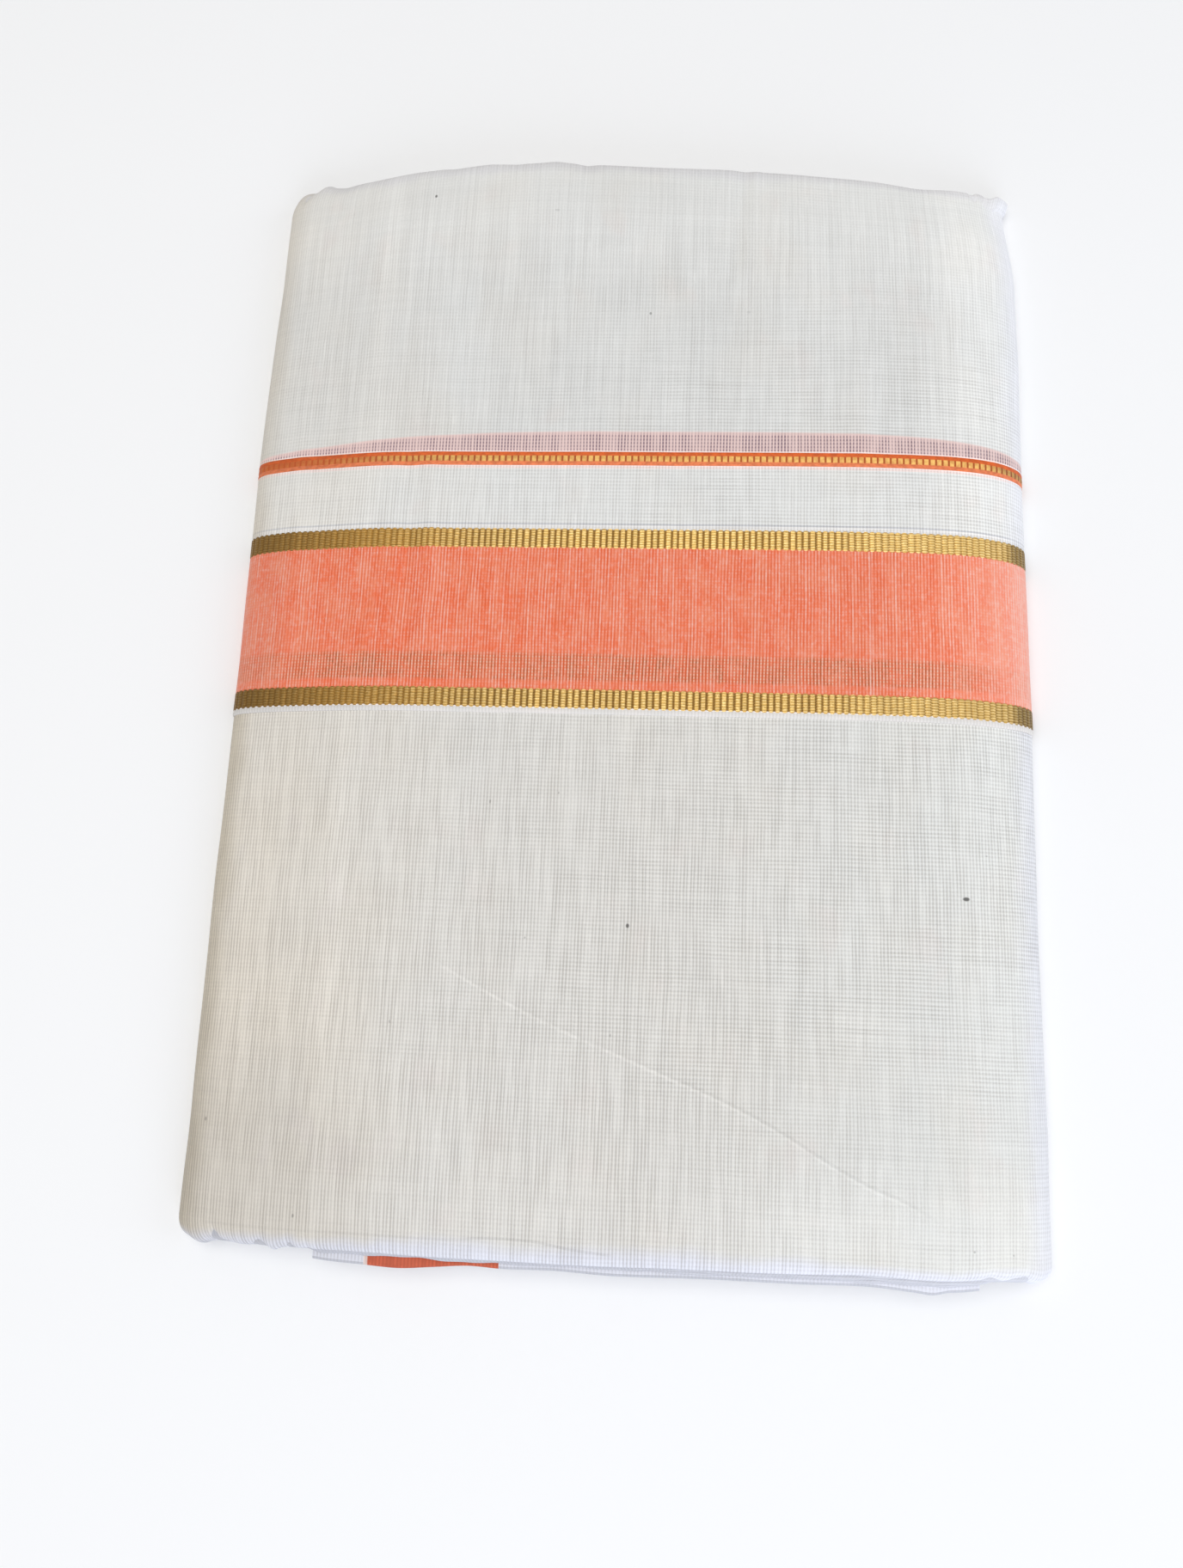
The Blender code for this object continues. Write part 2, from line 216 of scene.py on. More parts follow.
def make_cloth(name, rows, across, along, round_length=None, closed=False):
    """Make a piece of cloth from a grid of points, rows by columns.

    across and along are the thread coordinates of its columns and rows.  A cloth that goes all
    round has its round_length there.  Where the rows run out over the face and back inside it,
    they are closed into a wall.
    """
    count_rows, count = rows.shape[:2]
    columns = np.arange(count if round_length else count - 1)
    beyond = (columns + 1) % count
    row_list = np.arange(count_rows if closed else count_rows - 1)
    after = (row_list + 1) % count_rows
    first = row_list[:, None] * count
    second = after[:, None] * count
    faces = np.stack((first + columns, first + beyond, second + beyond, second + columns), -1)
    faces = faces.reshape(-1, 4)
    u0 = across[columns]
    u1 = np.where(beyond > columns, across[beyond], across[0] + (round_length or 0.0))
    corners = np.zeros((len(row_list), len(columns), 4, 2))
    corners[..., 0, 0] = corners[..., 3, 0] = u0
    corners[..., 1, 0] = corners[..., 2, 0] = u1
    corners[..., 0, 1] = corners[..., 1, 1] = along[row_list][:, None]
    corners[..., 2, 1] = corners[..., 3, 1] = along[after][:, None]
    corners = corners.reshape(-1, 2)
    if closed and not round_length:
        here = np.arange(count_rows // 2 - 1)
        there = count_rows - 1 - here
        side = np.stack((here, here + 1, there - 1, there), -1) * count
        faces = np.concatenate((faces, side, side[:, ::-1] + count - 1))
        corners = np.concatenate((corners, np.zeros((len(here) * 8, 2)) + (across[0], along[0])))
    mesh = bpy.data.meshes.new(name)
    mesh.from_pydata(rows.reshape(-1, 3).tolist(), [], faces.tolist())
    mesh.uv_layers.new(name="threads").data.foreach_set("uv", corners.ravel())
    mesh.shade_smooth()
    mesh.set_sharp_from_angle(angle=math.radians(50))
    piece = bpy.data.objects.new(name, mesh)
    bpy.context.scene.collection.objects.link(piece)
    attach(piece, "root")
    return piece


class Value:
    """A value drawn over the cloth.  Arithmetic with it adds maths nodes to its finish."""

    def __init__(self, finish, socket):
        self.finish, self.socket = finish, socket

    def __add__(self, other):
        return self.finish.maths("ADD", self, other)

    def __sub__(self, other):
        return self.finish.maths("SUBTRACT", self, other)

    def __rsub__(self, other):
        return self.finish.maths("SUBTRACT", other, self)

    def __mul__(self, other):
        return self.finish.maths("MULTIPLY", self, other)

    def __truediv__(self, other):
        return self.finish.maths("DIVIDE", self, other)

    def __abs__(self):
        return self.finish.maths("ABSOLUTE", self)

    def sine(self):
        return self.finish.maths("SINE", self)

    def cosine(self):
        return self.finish.maths("COSINE", self)

    def rounded(self):
        return self.finish.maths("ROUND", self)

    __radd__ = __add__


class Finish:
    """A woven finish.  Each step adds one shader node and gives its result as a Value."""

    def __init__(self, name, roughness, sheen=0.0):
        self.made = bpy.data.materials.new(name)
        self.made.use_nodes = True
        self.tree = self.made.node_tree
        self.shader = self.tree.nodes["Principled BSDF"]
        self.shader.inputs["Roughness"].default_value = roughness
        self.shader.inputs["Specular IOR Level"].default_value = 0.25
        self.shader.inputs["Sheen Weight"].default_value = sheen
        self.shader.inputs["Sheen Roughness"].default_value = 0.5
        threads = self.step("ShaderNodeUVMap", uv_map="threads")
        split = self.tree.nodes.new("ShaderNodeSeparateXYZ")
        self.feed(split.inputs[0], threads)
        self.across, self.along = Value(self, split.outputs[0]), Value(self, split.outputs[1])

    def feed(self, socket, value):
        """Link a value to a socket, or set the number or colour there."""
        if isinstance(value, Value):
            self.tree.links.new(value.socket, socket)
        elif value is not None:
            socket.default_value = value

    def step(self, kind, *feeds, **settings):
        node = self.tree.nodes.new(kind)
        for name, value in settings.items():
            setattr(node, name, value)
        for socket, value in zip(node.inputs, feeds):
            self.feed(socket, value)
        return Value(self, node.outputs[0])

    def maths(self, operation, *feeds):
        return self.step("ShaderNodeMath", *feeds, operation=operation)

    def between(self, value, low, high, start=0.0, end=1.0):
        """Go smoothly from start to end while a value goes from low to high."""
        return self.step(
            "ShaderNodeMapRange", value, low, high, start, end, interpolation_type="SMOOTHSTEP"
        )

    def sideways(self, low, high, start=0.0, end=1.0):
        """Give a value that goes from start to end between two places across the packet."""
        return self.between(self.across, low, high, start, end)

    def lengthways(self, low, high, start=0.0, end=1.0):
        """Give a value that goes from start to end between two places along the packet."""
        return self.between(self.along, low, high, start, end)

    def place(self, per_across, per_along):
        """Give the thread coordinates, stretched by the two numbers of steps a metre."""
        return self.step("ShaderNodeCombineXYZ", self.across * per_across, self.along * per_along)

    def cloud(self, per_across, per_along, detail=2.0):
        """Give soft random clouds between 0 and 1."""
        return self.step(
            "ShaderNodeTexNoise", self.place(per_across, per_along), None, 1.0, detail, 0.55
        )

    def stripe(self, low, high):
        """Give 1 between two places along the cloth, with soft sides."""
        soft = 0.00015
        return self.lengthways(low - soft, low + soft) * self.lengthways(high + soft, high - soft)

    def mix_colours(self, share, first, second):
        """Mix the first colour with a share of the second."""
        node = self.tree.nodes.new("ShaderNodeMix")
        node.data_type = "RGBA"
        colours = [c if isinstance(c, Value) else (*c, 1.0) for c in (first, second)]
        for index, value in zip((0, 6, 7), (share, *colours)):
            self.feed(node.inputs[index], value)
        return Value(self, node.outputs[2])

    def shade(self, colour, light):
        """Multiply a colour by a light value."""
        node = self.tree.nodes.new("ShaderNodeVectorMath")
        node.operation = "SCALE"
        self.feed(node.inputs[0], colour)
        self.feed(node.inputs["Scale"], light)
        return Value(self, node.outputs[0])

    def yarns(self, place, other, pitch, uneven, wander):
        """Give one set of yarns: 1 on the back of a yarn and 0 between two, and its own tone."""
        sway = self.step("ShaderNodeTexNoise", self.place(30.0, 30.0), None, 1.0, 1.0)
        sway = sway * wander - wander / 2
        number = (place + sway) * (1 / pitch)
        back = (number * (2 * math.pi)).cosine() * 0.5 + 0.5
        place_in_tones = self.step("ShaderNodeCombineXYZ", number.rounded() * 7.31, other * uneven)
        tone = self.step("ShaderNodeTexNoise", place_in_tones, None, 1.0, 1.0)
        return back, self.between(tone, 0.25, 0.75)

    def relief(self, height, depth):
        node = self.tree.nodes.new("ShaderNodeBump")
        node.inputs["Strength"].default_value = 1.0
        node.inputs["Distance"].default_value = depth
        self.feed(node.inputs["Height"], height)
        self.feed(self.shader.inputs["Normal"], Value(self, node.outputs[0]))

    def colour(self, value):
        self.feed(self.shader.inputs["Base Color"], value)
        return self.made


DOWN_PITCH = 0.00113
CROSS_PITCH = 0.00135
COTTON = (0.748, 0.723, 0.676)
COTTON_WARM_LIT = (0.772, 0.708, 0.612)
COTTON_COOL_LIT = (0.740, 0.734, 0.700)
COTTON_PINK = (0.745, 0.680, 0.640)
COTTON_FAR = (0.740, 0.734, 0.708)
COTTON_GAP = (0.480, 0.400, 0.320)
COTTON_LEFT_EDGE_SHADE = (0.575, 0.512, 0.410)
COTTON_RIGHT_EDGE_LIT = (0.748, 0.744, 0.768)
COTTON_NEAR_EDGE_SKY_LIT = (0.765, 0.770, 0.842)
COTTON_FAR_EDGE_SHADE = (0.650, 0.634, 0.636)
SELVEDGE_LINES = (
    # from, to, colour
    (0.0472, 0.0487, (0.860, 0.830, 0.800)),
    (0.0488, 0.0494, (0.600, 0.600, 0.620)),
    (0.0704, 0.0718, (0.980, 0.790, 0.740)),
    (0.0766, 0.0777, (0.980, 0.790, 0.740)),
)
LOOSE_YARNS = (
    # across, along, half length across, half length along, darkness
    (0.1131, -0.0785, 0.0012, 0.0007, 0.85),
    (0.0041, -0.0910, 0.0006, 0.0008, 0.80),
    (0.0048, 0.1321, 0.0005, 0.0006, 0.50),
    (-0.0784, 0.1819, 0.0005, 0.0007, 0.75),
    (-0.0315, 0.1736, 0.0009, 0.0005, 0.18),
    (0.0404, 0.1326, 0.0007, 0.0005, 0.15),
    (-0.1333, -0.1580, 0.0005, 0.0007, 0.40),
    (-0.0435, -0.0510, 0.0003, 0.0007, 0.40),
    (-0.0205, -0.0475, 0.0003, 0.0005, 0.30),
    (-0.0293, -0.0960, 0.0004, 0.0004, 0.30),
    (-0.0002, -0.1260, 0.0003, 0.0006, 0.30),
    (0.1205, -0.0640, 0.0005, 0.0003, 0.25),
    (-0.0720, -0.1245, 0.0003, 0.0006, 0.30),
    (-0.0990, -0.1855, 0.0004, 0.0006, 0.45),
    (0.1130, -0.1860, 0.0004, 0.0004, 0.35),
    (0.1260, -0.1875, 0.0003, 0.0004, 0.30),
)
SPECK = (0.055, 0.050, 0.045)
CREASE_LINE = (
    # across, along
    (-0.0720, -0.0975),
    (-0.0601, -0.1039),
    (-0.0239, -0.1217),
    (0.0070, -0.1339),
    (0.0438, -0.1488),
    (0.0805, -0.1684),
    (0.0935, -0.1736),
    (0.1115, -0.1852),
)
DRAWN_YARN = (
    (-0.1330, -0.1892),
    (-0.0900, -0.1896),
    (-0.0480, -0.1893),
    (-0.0332, -0.1884),
    (-0.0109, -0.1903),
    (0.0050, -0.1917),
)


def painted_light_over_cloth(finish):
    """Give the painted light over the cotton: lighter to the right and at the far end, darker at
    the near left, with a painted highlight along the soft ridge at the left.
    """
    right = finish.sideways(0.096, 0.122, 0.0, 0.088) * finish.lengthways(-0.080, 0.100, 0.60, 1.35)
    right += finish.sideways(0.020, 0.090, 0.0, 0.03)
    far = finish.lengthways(0.130, 0.175, 0.0, 0.070)
    near_right = finish.lengthways(-0.150, -0.182) * finish.sideways(0.000, 0.070, 0.0, 0.06)
    near_left = finish.lengthways(-0.110, -0.170) * finish.sideways(-0.050, -0.125, 0.0, -0.13)
    # Painted highlight along the soft ridge near the left.
    ridge_highlight = abs(finish.across + 0.0950)
    ridge_highlight = finish.between(ridge_highlight, 0.0065, 0.0005, 0.0, 0.045) * finish.lengthways(-0.175, -0.110)
    return right + far + near_right + near_left + ridge_highlight + 1.0


def open_weave(finish):
    """Give the lightness of the open plain weave, with the painted light and shade over the cotton,
    and its height.
    """
    down, down_tone = finish.yarns(finish.across, finish.along, DOWN_PITCH, 45.0, 0.0009)
    cross, cross_tone = finish.yarns(finish.along, finish.across, CROSS_PITCH, 45.0, 0.0009)
    far_end = finish.lengthways(0.115, 0.000, 0.53, 1.0)
    far_end *= finish.lengthways(0.145, 0.188, 1.0, 0.50)
    near_right = finish.sideways(0.010, 0.120, 0.0, 0.5) * finish.lengthways(-0.060, -0.150)
    down_show = far_end * (1.0 - near_right)
    down_show *= finish.lengthways(NEAR_FOLD - 0.0070, NEAR_FOLD, 0.40, 1.0)
    down_show *= finish.lengthways(-0.050, -0.130, 1.0, 1.10)
    patch = finish.between(finish.cloud(40.0, 55.0), 0.38, 0.62, 0.70, 1.05)
    cross_show = patch * finish.sideways(-0.110, 0.080, 0.35, 1.0)
    cross_show *= finish.lengthways(0.165, 0.085, 0.25, 1.0)
    cross_show *= finish.lengthways(-0.165, -0.120, 0.50, 1.0)
    down_dark = (1.0 - down) * (down_tone * 0.7 + 0.50)
    cross_dark = (1.0 - cross) * (cross_tone * 0.4 + 0.40)
    dark = (down_dark - 0.42) * down_show
    dark += (cross_dark - 0.30) * cross_show
    streaks = finish.between(finish.cloud(780.0, 16.0, 3.0), 0.30, 0.70, -0.5, 0.5)
    folds = finish.between(finish.cloud(26.0, 30.0, 1.0), 0.30, 0.70, -0.5, 0.5)
    streaky = finish.lengthways(0.000, 0.110, 0.026, 0.080)
    bars = finish.between(finish.cloud(22.0, 480.0, 2.0), 0.30, 0.70, -0.5, 0.5)
    slubs = finish.between(finish.cloud(560.0, 70.0, 1.0), 0.66, 0.80)
    fuzz = finish.between(finish.cloud(1500.0, 1500.0, 1.0), 0.25, 0.75, -0.5, 0.5)
    light = dark * -0.24 + 1.0
    light += streaks * streaky
    light += bars * 0.030
    # Painted light and shade of soft folds, in random clouds, stronger towards the far end.
    light += folds * finish.lengthways(0.060, 0.130, 0.010, 0.040)
    light += slubs * 0.06
    light += fuzz * 0.05
    light += finish.stripe(0.0494, 0.0704) * 0.065
    # Painted light and shade over the whole cloth.
    light *= painted_light_over_cloth(finish)
    # Painted shade on the turns beyond the near fold, which lie in under the layer above.
    tucked_shade = finish.lengthways(NEAR_FOLD - 0.0060, NEAR_FOLD - 0.0070)
    inner = finish.lengthways(NEAR_FOLD - 0.0118, NEAR_FOLD - 0.0085, 0.79, 0.74)
    light *= tucked_shade * (inner - 1.0) + 1.0
    return light, dark * -0.8


def cotton_ground(finish):
    """Give the colour of the white cotton, with painted light and shade: warmer to the left and
    cooler to the right, painted shade at the left edge and the far fold, and painted bluish light
    at the right edge and the near fold.
    """
    # Painted light: a warm tint over the left part, varied by random clouds, and a cool tint to the
    # right.
    warm = finish.sideways(-0.030, -0.150)
    warm *= finish.lengthways(0.150, -0.160, 0.22, 1.0)
    clouds = finish.between(finish.cloud(30.0, 20.0), 0.35, 0.70, -0.06, 0.14)
    warm = finish.step("ShaderNodeMath", warm, clouds, operation="ADD", use_clamp=True)
    ground = finish.mix_colours(finish.sideways(0.000, 0.110), COTTON, COTTON_COOL_LIT)
    ground = finish.mix_colours(finish.lengthways(-0.040, 0.060), ground, COTTON_FAR)
    ground = finish.mix_colours(warm, ground, COTTON_WARM_LIT)
    blush = finish.between(finish.cloud(55.0, 40.0), 0.58, 0.72, 0.0, 0.30)
    ground = finish.mix_colours(blush, ground, COTTON_PINK)
    shown = finish.sideways(-0.120, -0.030, 0.70, 0.9)
    for low, high, colour in SELVEDGE_LINES:
        ground = finish.mix_colours(finish.stripe(low, high) * shown, ground, colour)
    wander = finish.between(finish.cloud(45.0, 45.0), 0.30, 0.70, -0.0010, 0.0010)
    side = finish.across + wander
    ends = finish.along + wander
    # Painted shade where the cloth rolls away over the far fold.
    far = finish.between(ends, FAR_FOLD - 0.0058, FAR_FOLD - 0.0012, 0.0, 0.8)
    ground = finish.mix_colours(far, ground, COTTON_FAR_EDGE_SHADE)
    # Painted shade on the left edge, where the cloth turns down away from the light, with less of
    # it towards the far end.
    left = finish.between(side, -0.1290, -0.1400) * finish.between(side, -0.1700, -0.1520, 0.0, 0.9)
    left *= finish.lengthways(-0.040, 0.110, 1.0, 0.45)
    ground = finish.mix_colours(left, ground, COTTON_LEFT_EDGE_SHADE)
    # Painted cool light on the right edge, which turns down towards the light.
    right = finish.between(side, 0.1285, 0.1400) * finish.between(side, 0.1700, 0.1520, 0.0, 0.9)
    ground = finish.mix_colours(right, ground, COTTON_RIGHT_EDGE_LIT)
    # Painted bluish sky light along the near fold and the turns below it.
    reach = finish.sideways(-0.090, -0.030, 0.0052, 0.0078)
    reach *= finish.sideways(0.030, 0.110, 1.0, 0.62)
    near = (ends - NEAR_FOLD) / reach
    return finish.mix_colours(finish.between(near, 1.0, 0.2, 0.0, 0.9), ground, COTTON_NEAR_EDGE_SKY_LIT)


def line_across(finish, table):
    """Give a value that follows a short table of places across the packet."""
    low, high = table[0][0], table[-1][0]
    share = finish.step("ShaderNodeMapRange", finish.across, low, high, 0.0, 1.0)
    curve = finish.tree.nodes.new("ShaderNodeFloatCurve")
    points = curve.mapping.curves[0].points
    values = np.array(table)[:, 1]
    least, most = values.min(), values.max()
    for _ in range(len(table) - 2):
        points.new(0.5, 0.5)
    for point, (place, value) in zip(points, table):
        point.location = ((place - low) / (high - low), (value - least) / (most - least))
    curve.mapping.update()
    finish.feed(curve.inputs["Value"], share)
    return Value(finish, curve.outputs[0]) * float(most - least) + float(least)


def beside_line(finish, table):
    """Give how far further along the cloth a place lies than a line drawn across it."""
    return finish.along - line_across(finish, table)


def add_crease_light_and_yarn(finish, light):
    """Paint a highlight along the sharp crease, with painted shade beside it, and add the drawn
    yarn near the near fold.
    """
    beside = beside_line(finish, CREASE_LINE)
    ends = finish.sideways(-0.070, -0.040) * finish.sideways(0.108, 0.085)
    # Painted highlight along the crease, and painted shade just beside it on its far side.
    lit = finish.between(abs(beside + 0.0002), 0.0009, 0.0001)
    lit *= finish.sideways(0.020, 0.060, 1.0, 0.6)
    lit *= finish.between(finish.cloud(260.0, 60.0), 0.30, 0.60, 0.35, 1.1)
    shade = finish.between(abs(beside - 0.0008), 0.0009, 0.0002)
    shade *= finish.sideways(0.000, 0.050, 0.15, 0.8)
    light += (lit - shade) * ends * 0.105
    beside = beside_line(finish, DRAWN_YARN)
    ends = finish.sideways(-0.132, -0.128) * finish.sideways(0.004, 0.000)
    yarn = finish.between(abs(beside), 0.0006, 0.0002)
    tone = finish.sideways(-0.046, -0.040, -0.045, -0.11)
    return light + yarn * ends * tone


def warm_gaps(finish, colour, height):
    """Warm the gaps between the yarns a little, where the layers below show."""
    return finish.mix_colours(finish.between(height, 0.05, -0.50, 0.0, 0.13), colour, COTTON_GAP)


def add_specks(finish, colour):
    """Leave the few dark loose yarns and specks on the cloth."""
    for across, along, half_across, half_along, darkness in LOOSE_YARNS:
        x = (finish.across - across) / half_across
        y = (finish.along - along) / half_along
        far = x * x + y * y
        colour = finish.mix_colours(finish.between(far, 1.4, 0.2, 0.0, darkness), colour, SPECK)
    return colour


def white_cotton(name):
    """Dye and weave the plain white cotton, with its painted light and shade."""
    finish = Finish(name, 0.9, 0.15)
    light, height = open_weave(finish)
    colour = finish.shade(cotton_ground(finish), add_crease_light_and_yarn(finish, light))
    colour = warm_gaps(finish, colour, height)
    finish.relief(height, 0.00016)
    return finish.colour(add_specks(finish, colour))


COTTON_FINISH = white_cotton("white_cotton_weave")


def lay_turn(name, turn, far, number, ear=False):
    """Lay one turn's folded end."""
    left, right, low, high, leaf, out, bumps = turn
    count = int(160 + 1000 * (right - left))
    outer_x, outer_z, length = turn_outline(left, right, low, high, far, count)
    side = 0.5 * leaf * 0.015
    inner = turn_outline(left + side, right - side, low + leaf, high - leaf, far, count)
    inner_x, inner_z = inner[:2]
    walls = np.linspace(TURN_DEPTH, TURN_NOSE, 4)
    angles = np.radians(np.linspace(90, -90, 9))
    back = np.concatenate((walls[:-1], TURN_NOSE * (1 - np.cos(angles)), walls[-2::-1]))
    deep = np.concatenate((np.zeros(3), 0.5 - 0.5 * np.sin(angles), np.ones(3)))
    x = outer_x + (inner_x - outer_x) * deep[:, None]
    z = outer_z + (inner_z - outer_z) * deep[:, None]
    centre, half = (left + right) / 2, (right - left) / 2
    corner = min(TURN_CORNER, half / 3)
    squeeze = 1 - round_off(back[:, None] + 0.0004, corner, corner * 0.8) / half
    if ear:
        stick = 1 - ease((back[:, None] - EAR_LENGTH) / EAR_FADES)
        tip = round_off(back[:, None] + 0.0002, 0.0024, 0.0026)
        right_side = EAR_INSIDE * (1 - stick) + tip - EAR_SIDE * stick
        squeeze = np.where(x > centre, 1 - right_side / half, squeeze)
    x = centre + (x - centre) * squeeze
    wave = 0.0
    for size, waves, more, shift in TURN_WAVES:
        wave = wave + size * np.sin(x * (waves + more * number) + shift * number)
    if far:
        y = FAR_FOLD + through(FAR_LINE[:, 0], FAR_LINE[:, 1], x) + out - bumps * wave / 2
        y = y - back[:, None] + (EAR_OUT * ease((x - EAR_FROM) / EAR_SLOPE) if ear else 0.0)
    else:
        staggered = ease((x - STAGGER_FROM) / STAGGER_FADES)
        staggered = staggered * ease((STAGGER_TO - x) / STAGGER_FADES)
        out = out * np.maximum(staggered, 0.10)
        line = 0.35 * through(NEAR_LINE[:, 0], NEAR_LINE[:, 1], x)
        y = NEAR_FOLD - line - out + bumps * wave / 2
        y = y + back[:, None]
    walked = np.cumsum(np.concatenate(([0.0], np.hypot(np.diff(back), leaf * 0.018 / 8))))
    rows = np.stack((x, y, z), -1)
    if far:
        along = FAR_FOLD + walked
    else:
        rows, along = rows[::-1], NEAR_FOLD - walked[::-1]
    across = np.linspace(-length / 4, 3 * length / 4, count, endpoint=False)
    piece = make_cloth(name, rows, across, along, length)
    piece.data.materials.append(COTTON_FINISH)
    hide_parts("hidden_folds")


for number, turn in enumerate(NEAR_TURNS):
    lay_turn(f"turn_near_{number + 1}", turn, far=0, number=number)
for number, turn in enumerate(FAR_TURNS):
    lay_turn(f"turn_far_{number + 1}", turn, far=1, number=number, ear=number == 0)


# The cloth's own end.  The cut end of the length is turned under into the bundle, and sticks out
# at the near end.  A short orange band is woven across it, with white cotton on both sides.
END_NOSE = 0.0014
END_TOP = 0.709
END_UNDER = 0.632
END_DEPTH = 0.020
END_OUT = 0.0035
END_WALKED = 0.042
END_TUCKED = 0.0085
END_STRIPE_EDGE = 0.0013
END_BAND = (0.720, 0.172, 0.090)
END_BAND_DARK = (0.540, 0.102, 0.052)
END_BAND_PALE = (0.850, 0.680, 0.620)
END_PIECES = (
    # node, slot
    ("cloth_end_left", "white_cotton"),
    ("end_band", "orange_cotton"),
    ("cloth_end_right", "white_cotton"),
)
END_LINE = np.array((
    # across, further out, lower
    (-0.0926, 0.0005, 0.0002),
    (-0.0890, 0.0008, 0.0001),
    (-0.0757, 0.0014, 0.0000),
    (-0.0640, 0.0018, -0.0001),
    (-0.0540, 0.0010, 0.0001),
    (-0.0420, 0.0001, 0.0006),
    (-0.0328, 0.0004, 0.0003),
    (-0.0150, 0.0001, 0.0002),
    (0.0000, 0.0006, 0.0000),
    (0.0300, 0.0001, 0.0002),
    (0.0600, 0.0000, 0.0002),
    (0.0850, -0.0002, 0.0003),
    (0.0950, 0.0006, 0.0002),
    (0.1015, 0.0011, 0.0000),
    (0.1060, 0.0003, 0.0002),
    (0.1100, 0.0000, 0.0003),
    (0.1157, -0.0006, 0.0006),
))


def orange_end(name):
    """Dye the short end band, with a pale yarn where it meets the white."""
    finish = Finish(name, 0.85, 0.1)
    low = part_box("end_band")[0]
    down, tone = finish.yarns(finish.across, finish.along, DOWN_PITCH, 90.0, 0.0004)
    colour = finish.mix_colours(finish.cloud(90.0, 120.0), END_BAND, END_BAND_DARK)
    pale = finish.sideways(low.x + END_STRIPE_EDGE, low.x + END_STRIPE_EDGE * 0.6)
    colour = finish.mix_colours(pale, colour, END_BAND_PALE)
    shade = down * tone * 0.30 + 0.86
    finish.relief(down, 0.00012)
    return finish.colour(finish.shade(colour, shade))


END_FINISHES = {"white_cotton": COTTON_FINISH, "orange_cotton": orange_end("orange_end_weave")}


def lay_cloth_end(node, slot):
    """Lay one stretch of the cloth's end: over, round its folded edge and back."""
    low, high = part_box(node)
    count = int((high.x - low.x) / 0.0006)
    across = np.linspace(low.x - 0.00014, high.x + 0.00014, count)
    line = through(END_LINE[:, 0], END_LINE[:, 1], across)
    lower = through(END_LINE[:, 0], END_LINE[:, 2], across)
    height = sunk_height(across, END_SINK)
    top, bottom = END_TOP * height - lower, END_UNDER * height - lower
    back_top = np.concatenate((np.linspace(END_DEPTH, END_NOSE, 9)[:-1], [END_NOSE]))
    angles = np.radians(np.linspace(90, -90, 11))
    rows = []
    for inset in (0.0, CLOTH_THICK):
        nose = (END_NOSE - inset) * (1 - np.cos(angles)) + inset
        back = np.concatenate((back_top[:-1], nose, back_top[-2::-1]))
        part = np.concatenate((np.zeros(8), 0.5 - 0.5 * np.sin(angles), np.ones(8)))
        wall = np.array([(b, p) for b, p in zip(back, part)])
        thin = inset / (top - bottom)
        share = thin + wall[:, 1:] * (1 - 2 * thin)
        y = panel_low.y - END_OUT - line + wall[:, :1]
        z = top + (bottom - top) * share
        grid = np.stack((np.broadcast_to(across, z.shape), np.broadcast_to(y, z.shape), z), -1)
        rows.append(grid if inset == 0.0 else grid[::-1])
    rows = np.concatenate(rows)[::-1]
    walked = np.linspace(0, END_WALKED, len(rows) // 2)
    along = np.concatenate((walked, walked[::-1])) - END_TUCKED
    piece = make_cloth(node + "_leaf", rows, across, NEAR_FOLD - along, closed=True)
    piece.data.materials.append(END_FINISHES[slot])
    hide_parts(node)


for node, slot in END_PIECES:
    lay_cloth_end(node, slot)


# The panel under the flap.  It is the plain white cotton of the last turn, which goes all round
# the packet and folds over at the near end.  Its far part runs on under the flap.
FOLD_LONG = 0.0030
FOLD_HALF = 0.0008
FOLD_BACK = 0.012
UNDER_FLAP = 0.006
FLAP_STEP = 0.00040
END_SINK_LENGTH = 0.024
FAR_LINE_FADES = 0.060
NEAR_LINE_FADES = 0.020
PUCKER_FADES = 0.0060
NEAR_ROLL = 0.0009
NEAR_ROLL_LENGTH = 0.0075
CORNERS = (
    # is at the far end, is on the right, reach along, depth across
    (False, False, 0.0066, 0.0052),
    (False, True, 0.0046, 0.0038),
    (True, False, 0.0090, 0.0062),
    (True, True, 0.0032, 0.0013),
)
FAR_TAPERS = (
    # side, length, depth
    (-1, 0.110, 0.0017),
    (1, 0.042, 0.0036),
)
NEAR_PUCKERS = (
    # across, half width, further out, higher
    (-0.1345, 0.0034, 0.0014, 0.0003),
    (-0.1266, 0.0010, -0.0010, -0.0008),
    (-0.1180, 0.0030, 0.0003, 0.0002),
    (-0.1110, 0.0016, -0.0004, -0.0004),
    (-0.1064, 0.0020, 0.0010, 0.0003),
    (-0.1003, 0.0014, -0.0005, -0.0004),
    (-0.0945, 0.0012, -0.0003, -0.0006),
    (0.0200, 0.0150, -0.0002, -0.0002),
    (0.0800, 0.0120, -0.0004, 0.0001),
    (0.1190, 0.0016, -0.0003, -0.0002),
    (0.1245, 0.0024, 0.0006, 0.0003),
    (0.1308, 0.0016, -0.0003, -0.0003),
    (0.1362, 0.0024, 0.0008, 0.0004),
)
FAR_PUCKERS = (
    # across, half width, further out, higher
    (-0.1385, 0.0024, 0.0010, 0.0002),
    (-0.1345, 0.0008, -0.0020, -0.0018),
    (-0.1280, 0.0028, 0.0014, 0.0003),
    (-0.1185, 0.0040, -0.0006, -0.0001),
    (-0.0720, 0.0040, -0.0003, -0.0001),
    (-0.0590, 0.0050, 0.0004, 0.0001),
    (-0.0480, 0.0030, -0.0002, -0.0001),
    (-0.0330, 0.0055, 0.0007, 0.0001),
    (-0.0210, 0.0030, -0.0005, -0.0002),
    (0.0300, 0.0100, 0.0002, 0.0001),
    (0.1045, 0.0130, -0.0016, 0.0000),
    (0.1268, 0.0011, -0.0012, -0.0008),
    (0.1305, 0.0030, 0.0007, 0.0003),
)
